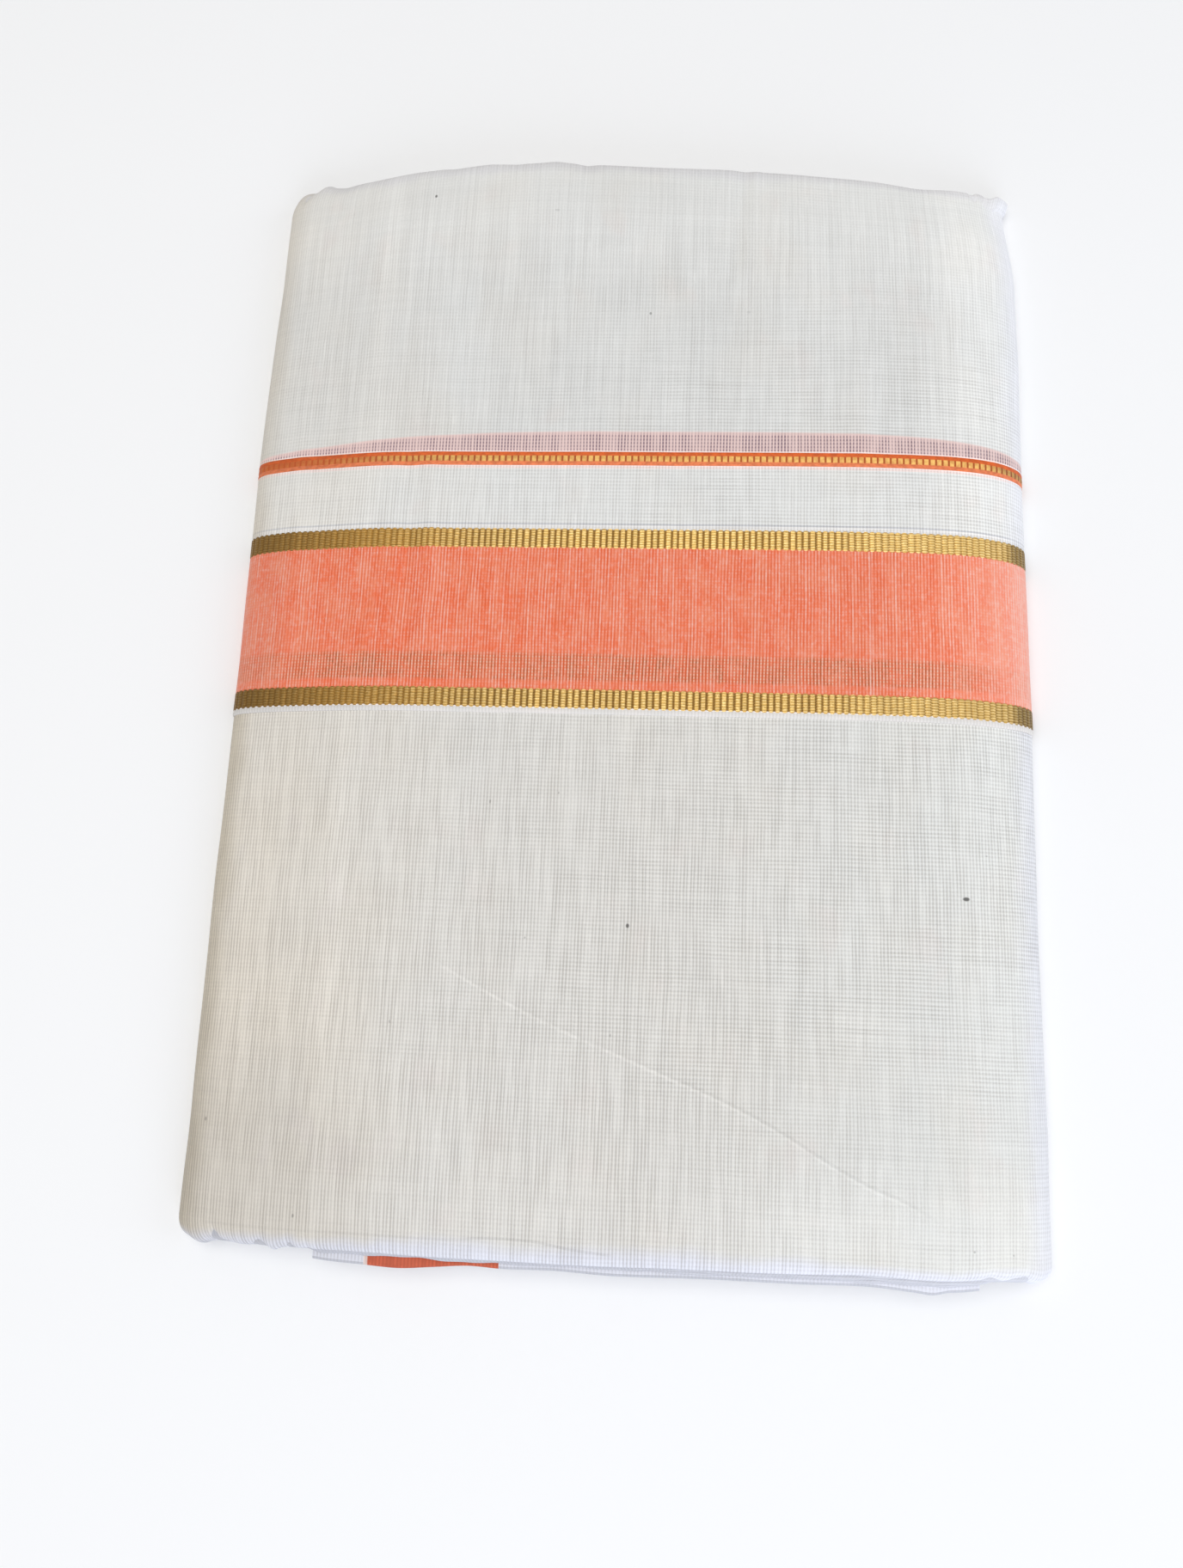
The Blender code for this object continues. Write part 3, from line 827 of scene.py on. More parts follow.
CREASES = (
    # from across, along, to across, along, half width, height
    (-0.0601, -0.1039, -0.0239, -0.1217, 0.0011, 0.00007),
    (-0.0239, -0.1217, 0.0070, -0.1339, 0.0011, 0.00016),
    (0.0070, -0.1339, 0.0438, -0.1488, 0.0011, 0.00019),
    (0.0438, -0.1488, 0.0756, -0.1646, 0.0011, 0.00018),
    (0.0756, -0.1646, 0.0989, -0.1785, 0.0011, 0.00013),
    (0.0989, -0.1785, 0.1115, -0.1852, 0.0011, 0.00008),
    (-0.0930, -0.1900, -0.0955, -0.0400, 0.0045, 0.00043),
    (-0.0760, 0.0050, -0.0800, 0.0720, 0.0035, -0.00055),
    (-0.0690, 0.0120, -0.0715, 0.0680, 0.0028, 0.00040),
    (0.0430, 0.1960, 0.0390, 0.1480, 0.0022, 0.00034),
    (0.0385, 0.1960, 0.0345, 0.1500, 0.0026, -0.00034),
    (-0.0450, -0.0230, -0.0480, -0.0800, 0.0050, -0.00026),
    (-0.0950, 0.0900, -0.0900, 0.1700, 0.0060, 0.00032),
    (-0.0600, 0.1000, -0.0560, 0.1850, 0.0070, -0.00032),
    (-0.0150, 0.0900, -0.0080, 0.1800, 0.0090, 0.00029),
    (0.0350, 0.1050, 0.0400, 0.1850, 0.0080, -0.00032),
    (0.0800, 0.0850, 0.0850, 0.1600, 0.0070, 0.00032),
    (0.0180, 0.0480, 0.0160, 0.0720, 0.0040, -0.00014),
    (-0.0340, -0.0250, -0.0300, -0.1050, 0.0060, 0.00023),
    (0.0250, -0.0300, 0.0200, -0.1250, 0.0090, -0.00023),
    (0.0700, -0.0300, 0.0740, -0.1300, 0.0080, 0.00023),
    (0.1130, -0.1850, 0.1160, -0.0300, 0.0055, 0.00038),
    (0.1240, -0.0500, 0.1270, 0.0600, 0.0050, -0.00029),
    (-0.1180, -0.1500, -0.1220, -0.0500, 0.0050, -0.00032),
    (-0.1240, 0.0000, -0.1200, 0.1000, 0.0050, 0.00029),
    (-0.0550, -0.1300, -0.0500, -0.1850, 0.0070, -0.00029),
    (0.0550, -0.1650, 0.0450, -0.1900, 0.0060, 0.00026),
    (0.0100, -0.1500, 0.0050, -0.1900, 0.0070, 0.00014),
)
SIDE_FROM = 0.128
SIDE_REACH = 0.010
SIDE_WAVES = (
    # side, along, half length, further out
    (1, -0.1500, 0.0120, 0.00025),
    (1, -0.0900, 0.0200, -0.00030),
    (1, -0.0200, 0.0150, 0.00025),
    (1, 0.0600, 0.0220, -0.00025),
    (1, 0.1200, 0.0140, 0.00030),
    (-1, -0.1600, 0.0140, -0.00030),
    (-1, -0.0800, 0.0180, 0.00030),
    (-1, 0.0000, 0.0160, -0.00025),
    (-1, 0.0800, 0.0200, 0.00025),
    (-1, 0.1500, 0.0130, -0.00025),
)
LAYER_LINE_HEIGHT = 0.0052
LAYER_LINE_OUT = 0.00028
LAYER_LINE_GROOVE = 0.00035
UNDER_ROUND = 0.0045


def packet_outline():
    """Give the outline across the packet: its distance walked from the middle of the top."""
    turn = np.radians(np.array((20.0, 40.0, 60.0, 76.0)))
    edge_x = HALF_WIDTH - UNDER_ROUND + UNDER_ROUND * np.sin(turn)
    edge_z = EDGE_MID * (1 - np.cos(turn))
    under = np.array((0.02, 0.06, 0.10, HALF_WIDTH - UNDER_ROUND))
    x = np.concatenate((-under, -edge_x, TOP_PROFILE[:, 0], edge_x[::-1], under[::-1]))
    z = np.concatenate((under * 0, edge_z, TOP_PROFILE[:, 1], edge_z[::-1], under * 0))
    x, z = np.tile(x, 3), np.tile(z, 3)
    knots = np.concatenate(([0.0], np.cumsum(np.hypot(np.diff(x), np.diff(z)))))
    once = len(x) // 3
    places = np.linspace(knots[once], knots[2 * once], 8000)
    x, z = through(knots, x, places), np.maximum(through(knots, z, places), 0.0)
    walked = np.concatenate(([0.0], np.cumsum(np.hypot(np.diff(x), np.diff(z)))))
    on_top = z > EDGE_MID * 1.5
    middle = np.interp(0.0, x[on_top], walked[on_top])
    return walked - middle, x, z


OUTLINE = packet_outline()
ROUND_LENGTH = OUTLINE[0][-1] - OUTLINE[0][0]


def columns_round(top_step, side_step, under_step):
    """Give the places of the columns round the packet, closer together where it shows."""
    walked, x, z = OUTLINE
    step = np.where(z > EDGE_MID, top_step, under_step)
    step = np.where(np.abs(x) > HALF_WIDTH - 0.012, side_step, step)
    counted = np.concatenate(([0.0], np.cumsum(np.diff(walked) / step[:-1])))
    count = int(round(counted[-1]))
    return np.interp(np.arange(count) * counted[-1] / count, counted, walked)


def soft_creases(x, y):
    """Give the height of all the soft creases at each point."""
    height = np.zeros(np.broadcast(x, y).shape)
    for x0, y0, x1, y1, half, rise in CREASES:
        length = math.hypot(x1 - x0, y1 - y0)
        across = ((x - x0) * (y1 - y0) - (y - y0) * (x1 - x0)) / length
        beside = ((x - x0) * (x1 - x0) + (y - y0) * (y1 - y0)) / length
        past = np.maximum(np.maximum(-beside, beside - length), 0.0)
        fade = max(half * 1.5, 0.0012)
        height += rise * np.exp(-((across / half) ** 2) - (past / fade) ** 2)
    return height


def pucker(table, x, column):
    """Give what the puckers along a fold add at each point across it."""
    return sum(row[column] * np.exp(-(((x - row[0]) / row[1]) ** 2)) for row in table)


def lay_wrap(around, along, depth, step=0.0, relief=0.0):
    """Give the points of the last turn, which goes all round the packet.

    around is the place walked round the packet, along runs from the near fold to the far one,
    and depth is how far below the cloth's face a point lies.
    """
    walked, outline_x, outline_z = OUTLINE
    along = np.asarray(along, float).reshape(-1, 1)
    depth = np.broadcast_to(np.asarray(depth, float).reshape(-1, 1), along.shape)
    x0 = np.interp(around, walked, outline_x)
    z0 = np.interp(around, walked, outline_z)
    slope_x = np.interp(around, walked, np.gradient(outline_x, walked))
    slope_z = np.interp(around, walked, np.gradient(outline_z, walked))
    out_x, out_z = -slope_z, slope_x
    on_top = np.clip((z0 - 0.0015) / 0.004, 0.0, 1.0) * np.ones_like(along)
    from_near, from_far = along - NEAR_FOLD, FAR_FOLD - along
    pulled_in = np.zeros(np.broadcast(along, x0).shape)
    for at_far, on_right, reach, deep in CORNERS:
        here = round_off(from_far if at_far else from_near, reach, deep)
        pulled_in += here * ((x0 > 0) == on_right)
    for side, length, deep in FAR_TAPERS:
        pulled_in += deep * ease(1 - from_far / length) * (side * x0 > 0)
    x = x0 * (1 - step / HALF_WIDTH - pulled_in / HALF_WIDTH * np.abs(x0 / HALF_WIDTH) ** 3)
    far_share = ease(1 - from_far / FAR_LINE_FADES)
    lower = END_SINK * (1 - ease(from_near / END_SINK_LENGTH))
    lower = lower + END_SINK * (1 - ease(from_far / END_SINK_LENGTH))
    lower = lower + NEAR_ROLL * round_off(from_near, NEAR_ROLL_LENGTH, 1.0)
    lower = lower + far_share * through(FAR_LINE[:, 0], FAR_LINE[:, 2], x0) + step
    near_pucker = ease(1 - from_near / PUCKER_FADES)
    far_pucker = ease(1 - from_far / PUCKER_FADES)
    lower = lower - near_pucker * pucker(NEAR_PUCKERS, x0, 3) * on_top
    lower = lower - far_pucker * pucker(FAR_PUCKERS, x0, 3) * on_top
    z = z0 - lower * np.clip((z0 - EDGE_MID) / FULL_SINK_HEIGHT, 0.0, 1.0)
    y = along + far_share * through(FAR_LINE[:, 0], FAR_LINE[:, 1], x0)
    near_share = ease(1 - from_near / NEAR_LINE_FADES)
    y = y - near_share * through(NEAR_LINE[:, 0], NEAR_LINE[:, 1], x0)
    y = y - near_pucker * pucker(NEAR_PUCKERS, x0, 2) * on_top
    y = y + far_pucker * pucker(FAR_PUCKERS, x0, 2) * on_top
    face = soft_creases(x0, along) * on_top + relief
    for side, place, half, out in SIDE_WAVES:
        turned = np.clip((side * x0 - SIDE_FROM) / SIDE_REACH, 0.0, 1.0)
        turned = turned * np.clip(z0 / 0.004, 0.0, 1.0)
        face = face + out * turned * np.exp(-(((along - place) / half) ** 2))
    under_line = (x0 > 0) * np.clip(z0 / 0.002, 0.0, 1.0)
    face = face + LAYER_LINE_OUT * under_line * (1 - ease((z0 - LAYER_LINE_HEIGHT) / 0.0006 + 0.5))
    face = face - LAYER_LINE_GROOVE * (x0 > 0) * np.exp(-(((z0 - LAYER_LINE_HEIGHT) / 0.0005) ** 2))
    shift = face - depth
    z = np.maximum(z + out_z * shift, depth)
    return np.stack((x + out_x * shift, np.broadcast_to(y, x.shape), z), -1)


def fold_path(length, step):
    """Give the rows over a fold, as (back from its tip, depth below the face).

    They run in along the face, round the fold and back inside it, and then return within the
    cloth's thickness, so that the rows close into a thin wall.
    """
    face = FOLD_LONG + np.arange(0.0, length - FOLD_LONG, step)
    face = np.append(face[:-1], length)[::-1]
    angles = np.radians(np.linspace(90, -90, 15))[1:-1]
    inside = np.array((FOLD_LONG, 0.006, FOLD_BACK))
    rows = [(back, 0.0) for back in face]
    rows += [(FOLD_LONG * (1 - math.cos(a)), FOLD_HALF * (1 - math.sin(a))) for a in angles]
    rows += [(back, 2 * FOLD_HALF) for back in inside]
    rows += [(back, 2 * FOLD_HALF - CLOTH_THICK) for back in inside[::-1]]
    small, thin = FOLD_LONG - CLOTH_THICK, FOLD_HALF - CLOTH_THICK
    for angle in angles[::-2]:
        back = CLOTH_THICK + small * (1 - math.cos(angle))
        rows.append((back, FOLD_HALF - thin * math.sin(angle)))
    rows += [(back, CLOTH_THICK) for back in np.append(face[::-1][::8], length)]
    return np.array(rows)


def run_along(path):
    """Give the thread coordinate of each row of a fold, from its tip."""
    return np.where(path[:, 1] > FOLD_HALF, -path[:, 0], path[:, 0])


def finish_wrap(name, points, around, along, node, slot, material, width=None, beside=()):
    """Make one stretch of the wrap, give it its material and hide its part of the model.

    A narrow stripe has no width of its own and lies beside a wider stretch. The slot, the width and
    the stretches beside are not used.
    """
    piece = make_cloth(name, points, around, along, ROUND_LENGTH, closed=True)
    piece.data.materials.append(material)
    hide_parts(node)
    return piece


PANEL_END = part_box("selvedge")[0].y
PANEL_COLUMNS = columns_round(0.00082, 0.00060, 0.0030)
PANEL_PATH = fold_path(PANEL_END + UNDER_FLAP - NEAR_FOLD, 0.00120)
finish_wrap(
    "panel_under_flap",
    lay_wrap(PANEL_COLUMNS, NEAR_FOLD + PANEL_PATH[:, 0], PANEL_PATH[:, 1], step=FLAP_STEP)[::-1],
    PANEL_COLUMNS,
    (NEAR_FOLD + run_along(PANEL_PATH))[::-1],
    "near_panel",
    "white_cotton",
    COTTON_FINISH,
    width=PANEL_END + UNDER_FLAP - NEAR_FOLD + FOLD_BACK,
)


# The selvedge.  It is the flap's own woven edge, a dense white tape under 2 mm wide, and it lies
# a cloth's thickness above the panel.
SELVEDGE_WHITE = (0.930, 0.855, 0.815)


def wall_rows(low, high, count):
    """Give the places along a stretch of the wrap, out over its face and back inside it."""
    along = np.concatenate((np.linspace(low, high, count), [high, low]))
    return along, np.concatenate((np.zeros(count), [CLOTH_THICK] * 2))


def lay_stripe(name, node, next_node, slot, material, around, count, raise_yarns=None, **cut):
    """Lay one woven stripe of the flap, up to where the next one starts."""
    low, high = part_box(node)[0].y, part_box(next_node)[0].y
    along, depth = wall_rows(low, high, count)
    relief = 0.0
    if raise_yarns:
        relief = raise_yarns(around, along[:, None], low, high)
        relief[count:] = 0.0
    points = lay_wrap(around, along, depth, relief=relief)
    return finish_wrap(name, points, around, along, node, slot, material, **cut)


def selvedge_weave():
    """Weave the dense white edge."""
    finish = Finish("selvedge_weave", 0.8, 0.1)
    down, _ = finish.yarns(finish.across, finish.along, DOWN_PITCH, 200.0, 0.0003)
    colour = finish.mix_colours(finish.cloud(60.0, 300.0), SELVEDGE_WHITE, COTTON_COOL_LIT)
    finish.relief(down, 0.00008)
    # Painted shade darkens the selvedge towards the left.
    shade = (down * 0.12 + 0.92) * finish.sideways(-0.140, -0.030, 0.84, 1.0)
    return finish.colour(finish.shade(colour, shade))


def selvedge_roll(around, along, low, high):
    """Round the selvedge's outer edge over, and raise its middle a little."""
    place = (along - low) / (high - low)
    rolled = 0.00012 * np.sin(math.pi * np.clip(place, 0.0, 1.0)) - 0.00015 * (1 - ease(place * 4))
    return rolled + 0.0 * around


STRIPE_COLUMNS = columns_round(0.00062, 0.00055, 0.0030)
beside_orange = [
    lay_stripe(
        "flap_selvedge", "selvedge", "near_zari", "white_selvedge", selvedge_weave(),
        STRIPE_COLUMNS, 7, selvedge_roll,
    )
]


# The gold stripes.  Flat gold-coloured yarn, zari, floats over groups of white yarns, and each
# group stands up as a rib across the stripe.  They lie on both sides of the orange band.
RIB_PITCH = 2 * DOWN_PITCH
RIB_HEIGHT = 0.00022
FLOAT_PITCH = 0.00095
ZARI_HIGHLIGHT = (0.920, 0.650, 0.270)
ZARI = (0.640, 0.390, 0.105)
ZARI_DARK = (0.220, 0.105, 0.018)
ZARI_SHADED = (0.580, 0.270, 0.035)
ZARI_PAINTED_LIGHT = np.array((
    # across, lightness of the painted light and shade
    (-0.150, 0.30),
    (-0.134, 0.36),
    (-0.115, 0.48),
    (-0.070, 0.78),
    (0.000, 1.04),
    (0.090, 1.06),
    (0.122, 1.00),
    (0.132, 0.75),
    (0.137, 0.42),
    (0.150, 0.30),
))
RIBS_SHOW = np.array((
    # across, how much darker the gaps between ribs are
    (-0.150, 0.60),
    (-0.105, 0.70),
    (-0.070, 0.85),
    (0.000, 0.95),
    (0.060, 0.90),
    (0.092, 0.58),
    (0.120, 0.52),
    (0.150, 0.80),
))


def rib_number(around):
    """Count the ribs round the packet.  They are a little uneven in width."""
    number = around / RIB_PITCH
    return number + 0.04 * np.sin(number * 1.7) + 0.05 * np.sin(number * 0.61 + 1.0)


def zari_ribs(around, along, low, high):
    """Raise the ribs.  Each one ends in a rounded head at both sides of the stripe."""
    number = rib_number(around)
    own = np.round(number)
    within = np.abs(number - own) * 2
    width = 0.80 + 0.14 * np.sin(own * 4.3)
    across_rib = np.sqrt(np.clip(1 - (within / width) ** 2, 0.0, 1.0))
    middle, half = (low + high) / 2, (high - low) / 2
    head = np.clip((half - np.abs(along - middle)) / 0.0007, 0.0, 1.0)
    tall = 0.85 + 0.15 * np.sin(own * 2.9)
    return RIB_HEIGHT * tall * across_rib * np.sqrt(1 - (1 - head) ** 2) - 0.00006


def zari_weave(name, low, high, beside_low, beside_high, bright):
    """Weave a gold stripe, with painted highlights and painted light and shade. Its two sides are
    stepped, where it takes turns with its neighbours.
    """
    finish = Finish(name, 0.42)
    finish.shader.inputs["Metallic"].default_value = 0.35
    finish.shader.inputs["Specular IOR Level"].default_value = 0.2
    number = finish.across * (1 / RIB_PITCH)
    second = (number * 0.61 + 1.0).sine() * 0.05
    number += (number * 1.7).sine() * 0.04
    number += second
    rib = (number * (2 * math.pi)).cosine() * 0.5 + 0.5
    own = number.rounded()
    step = finish.step("ShaderNodeTexWhiteNoise", None, own, noise_dimensions="1D")
    floats = finish.cloud(120.0, 60.0, 1.0) * 0.0006 + finish.along
    floats += step * 0.0016
    floats = (floats * (2 * math.pi / FLOAT_PITCH)).cosine()
    # Painted highlights on the gold: random glints, and the crests and floats of the ribs painted
    # lighter.
    glint = finish.between(finish.cloud(430.0, 1300.0, 2.0), 0.40, 0.66)
    show = line_across(finish, RIBS_SHOW)
    lit = floats * (show * -0.75 + 1.30) + (glint * 0.85 + 0.05)
    crest = 1.0 - finish.between(rib, 0.66, 0.22) * show
    lit = finish.step("ShaderNodeClamp", crest * lit)
    gap = finish.between(rib, 0.48, 0.06) * show
    colour = finish.mix_colours(gap, ZARI, ZARI_DARK)
    colour = finish.mix_colours(lit, colour, ZARI_HIGHLIGHT)
    # Painted shade darkens the gold towards the left.
    colour = finish.mix_colours(finish.sideways(-0.040, -0.105, 0.0, 0.60), colour, ZARI_SHADED)
    # Painted light and shade across the packet: dark at the left and where it turns down at both
    # sides, brightest right of the middle.
    tone = line_across(finish, ZARI_PAINTED_LIGHT) * (floats * 0.05 + 1.0)
    tone *= bright + step * 0.16
    colour = finish.shade(colour, tone)
    reach = rib * 0.0006 - 0.0002
    for edge, side, beside in ((low, 1.0, beside_low), (high, -1.0, beside_high)):
        inside = (finish.along - edge) * side
        gold = finish.between(inside + reach, 0.0001, 0.0004)
        colour = finish.mix_colours(gold, beside, colour)
    finish.relief(glint + floats * 0.35, 0.00010)
    return finish.colour(colour)


ORANGE_EDGE = (0.800, 0.240, 0.110)
RIB_COLUMNS = columns_round(RIB_PITCH / 8, RIB_PITCH / 7, RIB_PITCH / 3)
for name, node, beyond, sides, bright in (
    ("gold_stripe_near", "near_zari", "orange_band", (SELVEDGE_WHITE, ORANGE_EDGE), 0.96),
    ("gold_stripe_far", "far_zari", "border_cloth", (ORANGE_EDGE, COTTON), 1.10),
):
    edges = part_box(node)[0].y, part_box(beyond)[0].y
    gold = zari_weave(name + "_weave", *edges, *sides, bright)
    beside_orange.append(lay_stripe(name, node, beyond, "zari", gold, RIB_COLUMNS, 17, zari_ribs))


# The orange band.  Dyed orange yarns run along the packet's width over white ones, so it looks
# streaked.  It is paler where it turns down at the sides.  The gold stripe of the layer below shows
# through as a brownish line near its lower side.
ORANGE = (0.930, 0.250, 0.125)
ORANGE_DEEP = (0.930, 0.145, 0.042)
ORANGE_PALE = (0.960, 0.540, 0.450)
ORANGE_GAP = (0.740, 0.115, 0.034)
ORANGE_PITCH = 0.00105
PALE_YARN = 0.0829
BAND_SHADOW = (0.330, 0.130, 0.055)
BAND_SHADOW_PALE = (0.860, 0.560, 0.420)
BAND_SHADOW_FROM = -0.0083
BAND_SHADOW_TO = 0.0010
BAND_SHADOW_PITCH = 0.0011
BAND_PALE_TONE = np.array((
    # across, paleness
    (-0.150, 0.16),
    (-0.132, 0.09),
    (-0.110, 0.02),
    (0.000, 0.03),
    (0.110, 0.10),
    (0.128, 0.24),
    (0.138, 0.46),
    (0.150, 0.60),
))


def orange_weave():
    """Weave the band, with its uneven orange and what shows through from below."""
    finish = Finish("orange_band_weave", 0.85, 0.15)
    down, down_tone = finish.yarns(finish.across, finish.along, DOWN_PITCH, 90.0, 0.0011)
    cross, cross_tone = finish.yarns(finish.along, finish.across, ORANGE_PITCH, 140.0, 0.0008)
    clouds = finish.between(finish.cloud(170.0, 80.0, 4.0), 0.36, 0.64, 0.0, 0.70)
    streaks = finish.between(finish.cloud(520.0, 22.0, 2.0), 0.42, 0.66)
    colour = finish.mix_colours(clouds, ORANGE, ORANGE_DEEP)
    pale = line_across(finish, BAND_PALE_TONE)
    thread = finish.between(down, 0.40, 1.0) * (streaks * 0.42 + 0.05)
    thread += cross_tone * cross * down * 0.36
    flecks = finish.between(finish.cloud(750.0, 520.0, 3.0), 0.42, 0.70)
    thread += flecks * 0.30
    beside = abs(finish.across - PALE_YARN)
    thread += finish.between(beside, 0.0006, 0.0002) * 0.36
    colour = finish.mix_colours(finish.step("ShaderNodeClamp", pale + thread), colour, ORANGE_PALE)
    below = (
        finish.lengthways(BAND_SHADOW_FROM - 0.0008, BAND_SHADOW_FROM + 0.0006)
        * finish.lengthways(BAND_SHADOW_TO + 0.0012, BAND_SHADOW_TO - 0.0010)
    )
    calm = finish.sideways(-0.136, -0.104, 0.35, 1.0) * finish.sideways(0.132, 0.098, 0.15, 1.0)
    gaps = (
        finish.between(down, 0.80, 0.10)
        * finish.between(finish.cloud(130.0, 110.0), 0.30, 0.60, 0.30, 1.0)
    )
    speckle = finish.between(finish.cloud(900.0, 700.0, 1.0), 0.35, 0.65)
    gaps = (gaps * (speckle * 0.5 + 0.6) + 0.02) * calm
    colour = finish.mix_colours(below * gaps, colour, BAND_SHADOW)
    rows = (finish.along * (2 * math.pi / BAND_SHADOW_PITCH)).cosine() * 0.5 + 0.5
    spots = (
        finish.between(finish.cloud(900.0, 500.0, 2.0), 0.36, 0.58, 0.25, 1.0)
        * finish.between(down, 0.40, 0.95)
        * rows
    )
    colour = finish.mix_colours(below * calm * spots, colour, BAND_SHADOW_PALE)
    deep = finish.between(down, 0.70, 0.05) * (down_tone * -0.7 + 0.85)
    colour = finish.mix_colours(deep * calm, colour, ORANGE_GAP)
    # Painted light and shade: the band is darker at its left side and lighter at its right.
    sides = finish.sideways(-0.112, -0.132, 1.0, 0.91) + finish.sideways(0.080, 0.110, 0.0, 0.06)
    colour = finish.shade(colour, sides)
    finish.relief(down + cross * 0.3, 0.00008)
    return finish.colour(colour)


lay_stripe(
    "orange_band_cloth", "orange_band", "far_zari", "orange_cotton", orange_weave(),
    STRIPE_COLUMNS, 44, width=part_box("far_zari")[0].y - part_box("orange_band")[0].y,
    beside=beside_orange,
)


# The white ground between the stripes.  The same open cotton as the panel.
lay_stripe(
    "ground_between_stripes", "border_cloth", "fine_stripe", "white_cotton", COTTON_FINISH,
    STRIPE_COLUMNS, 21, width=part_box("fine_stripe")[0].y - ground_low.y,
)


# The fine stripe.  Two raised orange cords with a row of gold beads of yarn between them, and a
# pale pink yarn along each side.
BEAD_PITCH = 2 * DOWN_PITCH
CORD_ORANGE = (0.730, 0.122, 0.014)
CORD_LOW = (0.850, 0.220, 0.080)
BEAD_GOLD = (1.000, 0.580, 0.160)
BEAD_GAP = (0.440, 0.090, 0.010)
BEAD_PAINTED_LIGHT = np.array((
    # across, lightness of the painted light and shade
    (-0.150, 0.60),
    (-0.125, 0.66),
    (-0.090, 0.78),
    (0.000, 1.00),
    (0.115, 1.06),
    (0.132, 0.72),
    (0.150, 0.55),
))
fine_low, fine_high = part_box("fine_stripe")[0].y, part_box("flap_cloth")[0].y
FINE_LOW_CORD = fine_low + 0.00075
FINE_BEADS = fine_low + 0.00262
FINE_HIGH_CORD = fine_low + 0.00450


def fine_relief(around, along, low, high):
    """Raise the two cords and the beads between them."""
    cords = np.exp(-(((along - FINE_LOW_CORD) / 0.00055) ** 2))
    cords = cords + np.exp(-(((along - FINE_HIGH_CORD) / 0.00060) ** 2))
    bead = np.abs(np.sin(math.pi * around / BEAD_PITCH)) ** 0.8
    beads = bead * np.exp(-(((along - FINE_BEADS) / 0.00095) ** 2))
    return 0.00013 * cords + 0.00020 * beads


def fine_weave():
    """Dye the two cords and the beads.  Painted shade darkens them at the left, and the beads also
    where they turn down at the right.
    """
    finish = Finish("fine_stripe_weave", 0.6, 0.05)
    finish.shader.inputs["Specular IOR Level"].default_value = 0.4
    twist = finish.across * (2 * math.pi / BEAD_PITCH)
    bead = twist.cosine() * -0.5 + 0.5
    uneven = finish.between(finish.cloud(500.0, 500.0, 1.0), 0.30, 0.70, 0.55, 1.0)
    row = finish.between(abs(finish.along - FINE_BEADS), 0.00130, 0.00085)
    core = finish.mix_colours(finish.between(bead, 0.06, 0.38) * uneven, BEAD_GAP, BEAD_GOLD)
    # Painted light and shade on the beads across the packet.
    core = finish.shade(core, line_across(finish, BEAD_PAINTED_LIGHT))
    core = finish.mix_colours(finish.sideways(-0.060, -0.130, 0.0, 0.8), core, CORD_ORANGE)
    high = finish.lengthways(FINE_BEADS - 0.0004, FINE_BEADS + 0.0004)
    cords = finish.mix_colours(high, CORD_LOW, CORD_ORANGE)
    cords = finish.shade(cords, finish.between(finish.cloud(500.0, 900.0), 0.3, 0.7, 0.82, 1.15))
    colour = finish.mix_colours(row, cords, core)
    # Painted shade darkens the whole stripe towards the left.
    colour = finish.shade(colour, finish.sideways(-0.140, -0.070, 0.80, 1.0))
    finish.relief(finish.cloud(900.0, 1500.0), 0.00010)
    return finish.colour(colour)


BEAD_COLUMNS = columns_round(BEAD_PITCH / 7, BEAD_PITCH / 6, BEAD_PITCH / 3)
fine_cords = lay_stripe(
    "fine_stripe_cords", "fine_stripe", "flap_cloth", "orange_and_gold", fine_weave(),
    BEAD_COLUMNS, 17, fine_relief,
)


# The flap.  Plain white cotton from the fine stripe to the far fold, where it goes over and back
# into the packet.  A fold of the orange stripe below it shows through its open weave as a pink
# strip beside the fine stripe.
GHOST_EDGE = np.array((
    # across, width of the pink strip
    (-0.150, 0.0000),
    (-0.135, 0.0018),
    (-0.117, 0.0030),
    (-0.092, 0.0048),
    (-0.067, 0.0063),
    (-0.036, 0.0075),
    (0.007, 0.0077),
    (0.056, 0.0076),
    (0.090, 0.0070),
    (0.116, 0.0056),
    (0.135, 0.0040),
    (0.150, 0.0010),
))
GHOST_PINK = (0.900, 0.640, 0.590)
GHOST_DOT = (0.230, 0.120, 0.160)


def flap_weave():
    """Weave the flap, with the pink strip of the layer below it and the cotton's painted light and
    shade.
    """
    finish = Finish("flap_weave", 0.9, 0.15)
    light, height = open_weave(finish)
    colour = warm_gaps(finish, finish.shade(cotton_ground(finish), light), height)
    width = line_across(finish, GHOST_EDGE)
    place = finish.along - (fine_high + 0.0003)
    strip = finish.between(place - width, 0.0004, -0.0005)
    strip *= finish.between(place, 0.0, 0.0004)
    down, down_tone = finish.yarns(finish.across, finish.along, DOWN_PITCH, 45.0, 0.0009)
    cross, _ = finish.yarns(finish.along, finish.across, CROSS_PITCH, 45.0, 0.0009)
    dots = finish.between(down, 0.86, 0.20) * (cross * -0.50 + 1.0)
    dots *= down_tone * 0.8 + 0.5
    dots *= finish.between(place - width, 0.0, -0.0018, 0.15, 1.0)
    ghost = finish.mix_colours(dots, GHOST_PINK, GHOST_DOT)
    colour = finish.mix_colours(strip * 0.85, colour, ghost)
    finish.relief(height, 0.00016)
    return finish.colour(add_specks(finish, colour))


FLAP_PATH = fold_path(FAR_FOLD - fine_high, 0.00120)
finish_wrap(
    "flap_far_part",
    lay_wrap(STRIPE_COLUMNS, FAR_FOLD - FLAP_PATH[:, 0], FLAP_PATH[:, 1]),
    STRIPE_COLUMNS,
    FAR_FOLD - run_along(FLAP_PATH),
    "flap_cloth",
    "white_cotton",
    flap_weave(),
    width=FAR_FOLD - fine_high + FOLD_BACK,
    beside=[fine_cords],
)


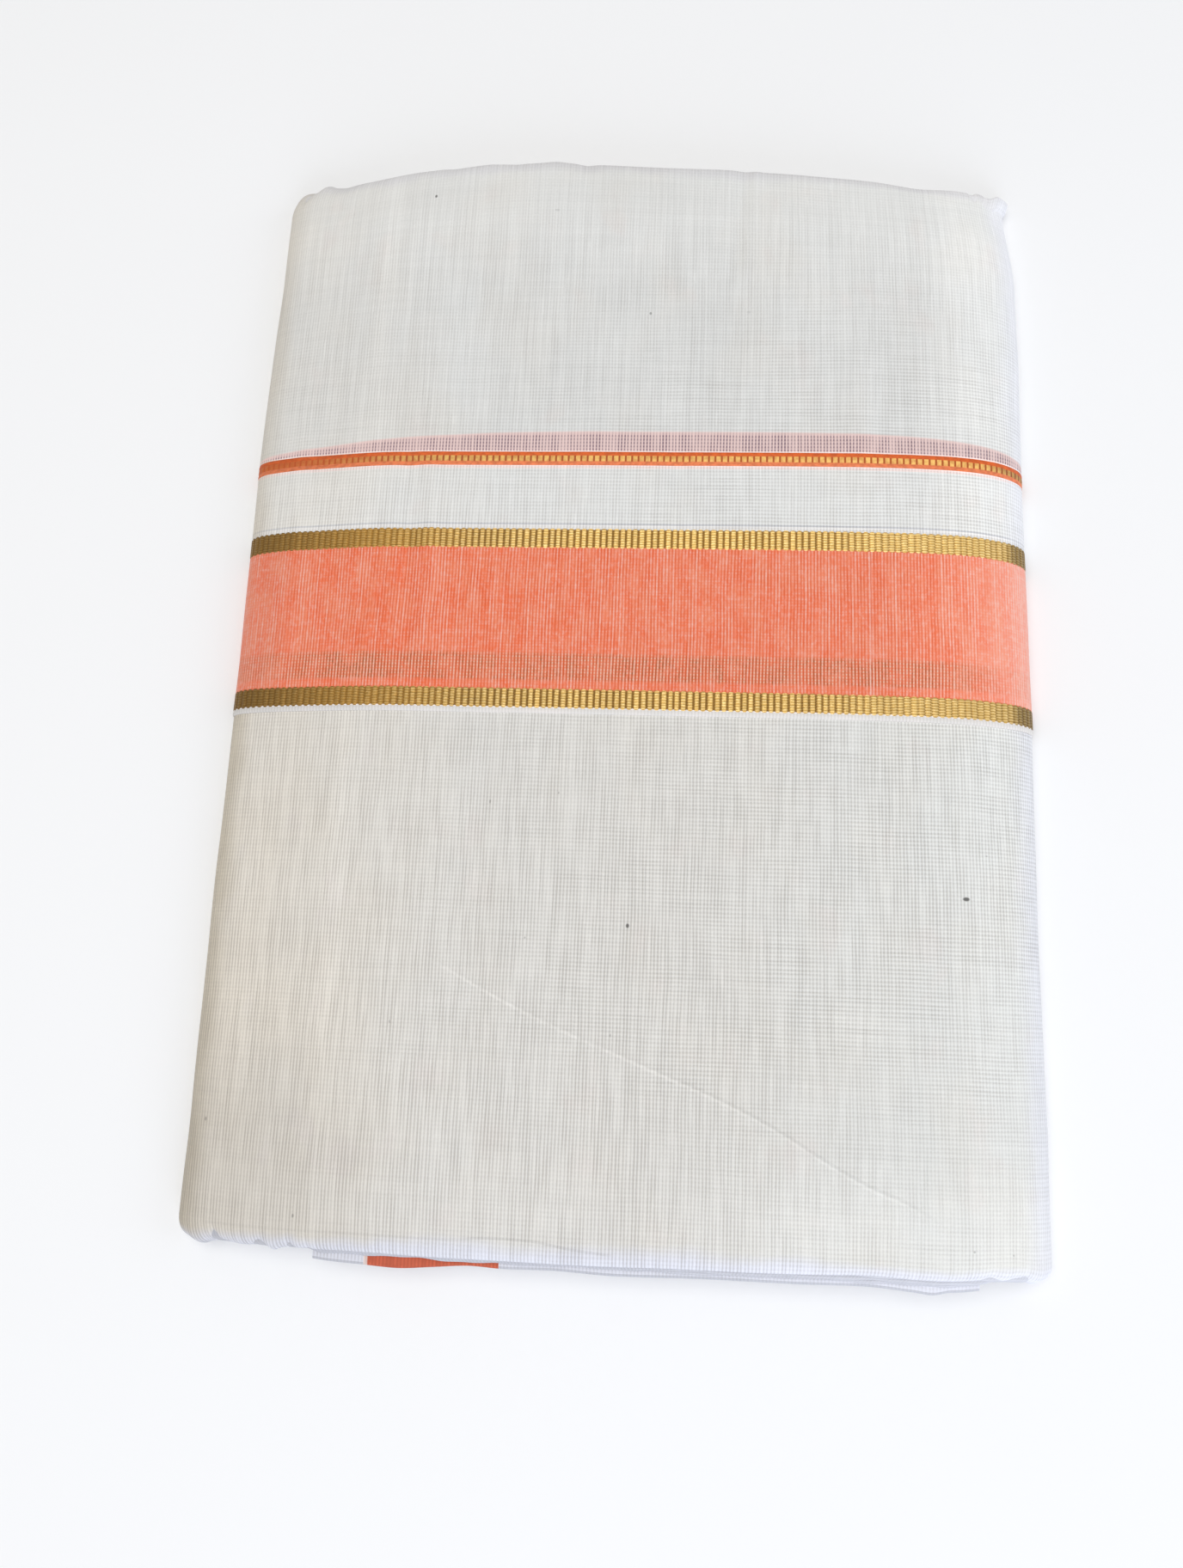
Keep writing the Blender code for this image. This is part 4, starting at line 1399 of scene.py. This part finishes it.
# The table, the light and the camera.  A plain pale table, soft daylight from above and from the
# near right side, and the camera held low over the near half of the packet.
TABLE_COLOUR = (0.985, 0.980, 0.975)
TABLE_HALF = 3.0
TABLE_GAP = 0.0003
LAMPS = (
    # name, place, size, watts, colour
    ("window_above", (-0.20, 0.05, 1.90), 2.0, 19.5, (1.0, 0.985, 0.955)),
    ("sky_near", (0.35, -1.40, 0.60), 1.2, 8.5, (0.76, 0.84, 1.0)),
    ("sky_right", (1.50, 0.10, 0.55), 1.2, 5.5, (0.82, 0.89, 1.0)),
    ("room_left", (-1.40, 0.10, 0.90), 1.2, 1.2, (1.0, 0.95, 0.88)),
)
SKY_STRENGTH = 0.38
CAMERA_PLACE = (0.0154, -0.1291, 0.4043)
CAMERA_TURN = (12.58, 3.19, 2.38)
CAMERA_LENS = 27.1
CAMERA_SENSOR = 36.0


def set_table():
    """Set out the table top, just under the packet."""
    mesh = bpy.data.meshes.new("table")
    corners = np.array(((-1, -1, 0), (1, -1, 0), (1, 1, 0), (-1, 1, 0))) * TABLE_HALF
    mesh.from_pydata(corners - (0, 0, TABLE_GAP), [], [(0, 1, 2, 3)])
    table = bpy.data.objects.new("table", mesh)
    bpy.context.scene.collection.objects.link(table)
    finish = bpy.data.materials.new("table_white")
    finish.use_nodes = True
    shader = finish.node_tree.nodes["Principled BSDF"]
    shader.inputs["Base Color"].default_value = (*TABLE_COLOUR, 1)
    shader.inputs["Roughness"].default_value = 0.9
    mesh.materials.append(finish)


def hang_lamp(name, place, size, watts, colour):
    """Hang a round lamp that faces the packet."""
    lamp = bpy.data.lights.new(name, "AREA")
    lamp.shape = "DISK"
    lamp.size = size
    lamp.energy = watts
    lamp.color = colour
    held = bpy.data.objects.new(name, lamp)
    held.location = place
    direction = np.array(place)
    flat = math.hypot(direction[0], direction[1])
    held.rotation_euler = (
        math.atan2(flat, direction[2]), 0.0, math.atan2(direction[1], direction[0]) + math.pi / 2
    )
    bpy.context.scene.collection.objects.link(held)


set_table()
for lamp in LAMPS:
    hang_lamp(*lamp)
world = bpy.data.worlds.new("daylight")
world.use_nodes = True
sky = world.node_tree.nodes["Background"]
sky.inputs["Color"].default_value = (0.95, 0.97, 1.0, 1.0)
sky.inputs["Strength"].default_value = SKY_STRENGTH
bpy.context.scene.world = world
lens = bpy.data.cameras.new("camera")
lens.lens = CAMERA_LENS
lens.sensor_width = CAMERA_SENSOR
lens.clip_start = 0.01
camera = bpy.data.objects.new("camera", lens)
camera.location = CAMERA_PLACE
camera.rotation_euler = [math.radians(turn) for turn in CAMERA_TURN]
bpy.context.scene.collection.objects.link(camera)
bpy.context.scene.camera = camera
bpy.context.scene.view_settings.view_transform = "Standard"
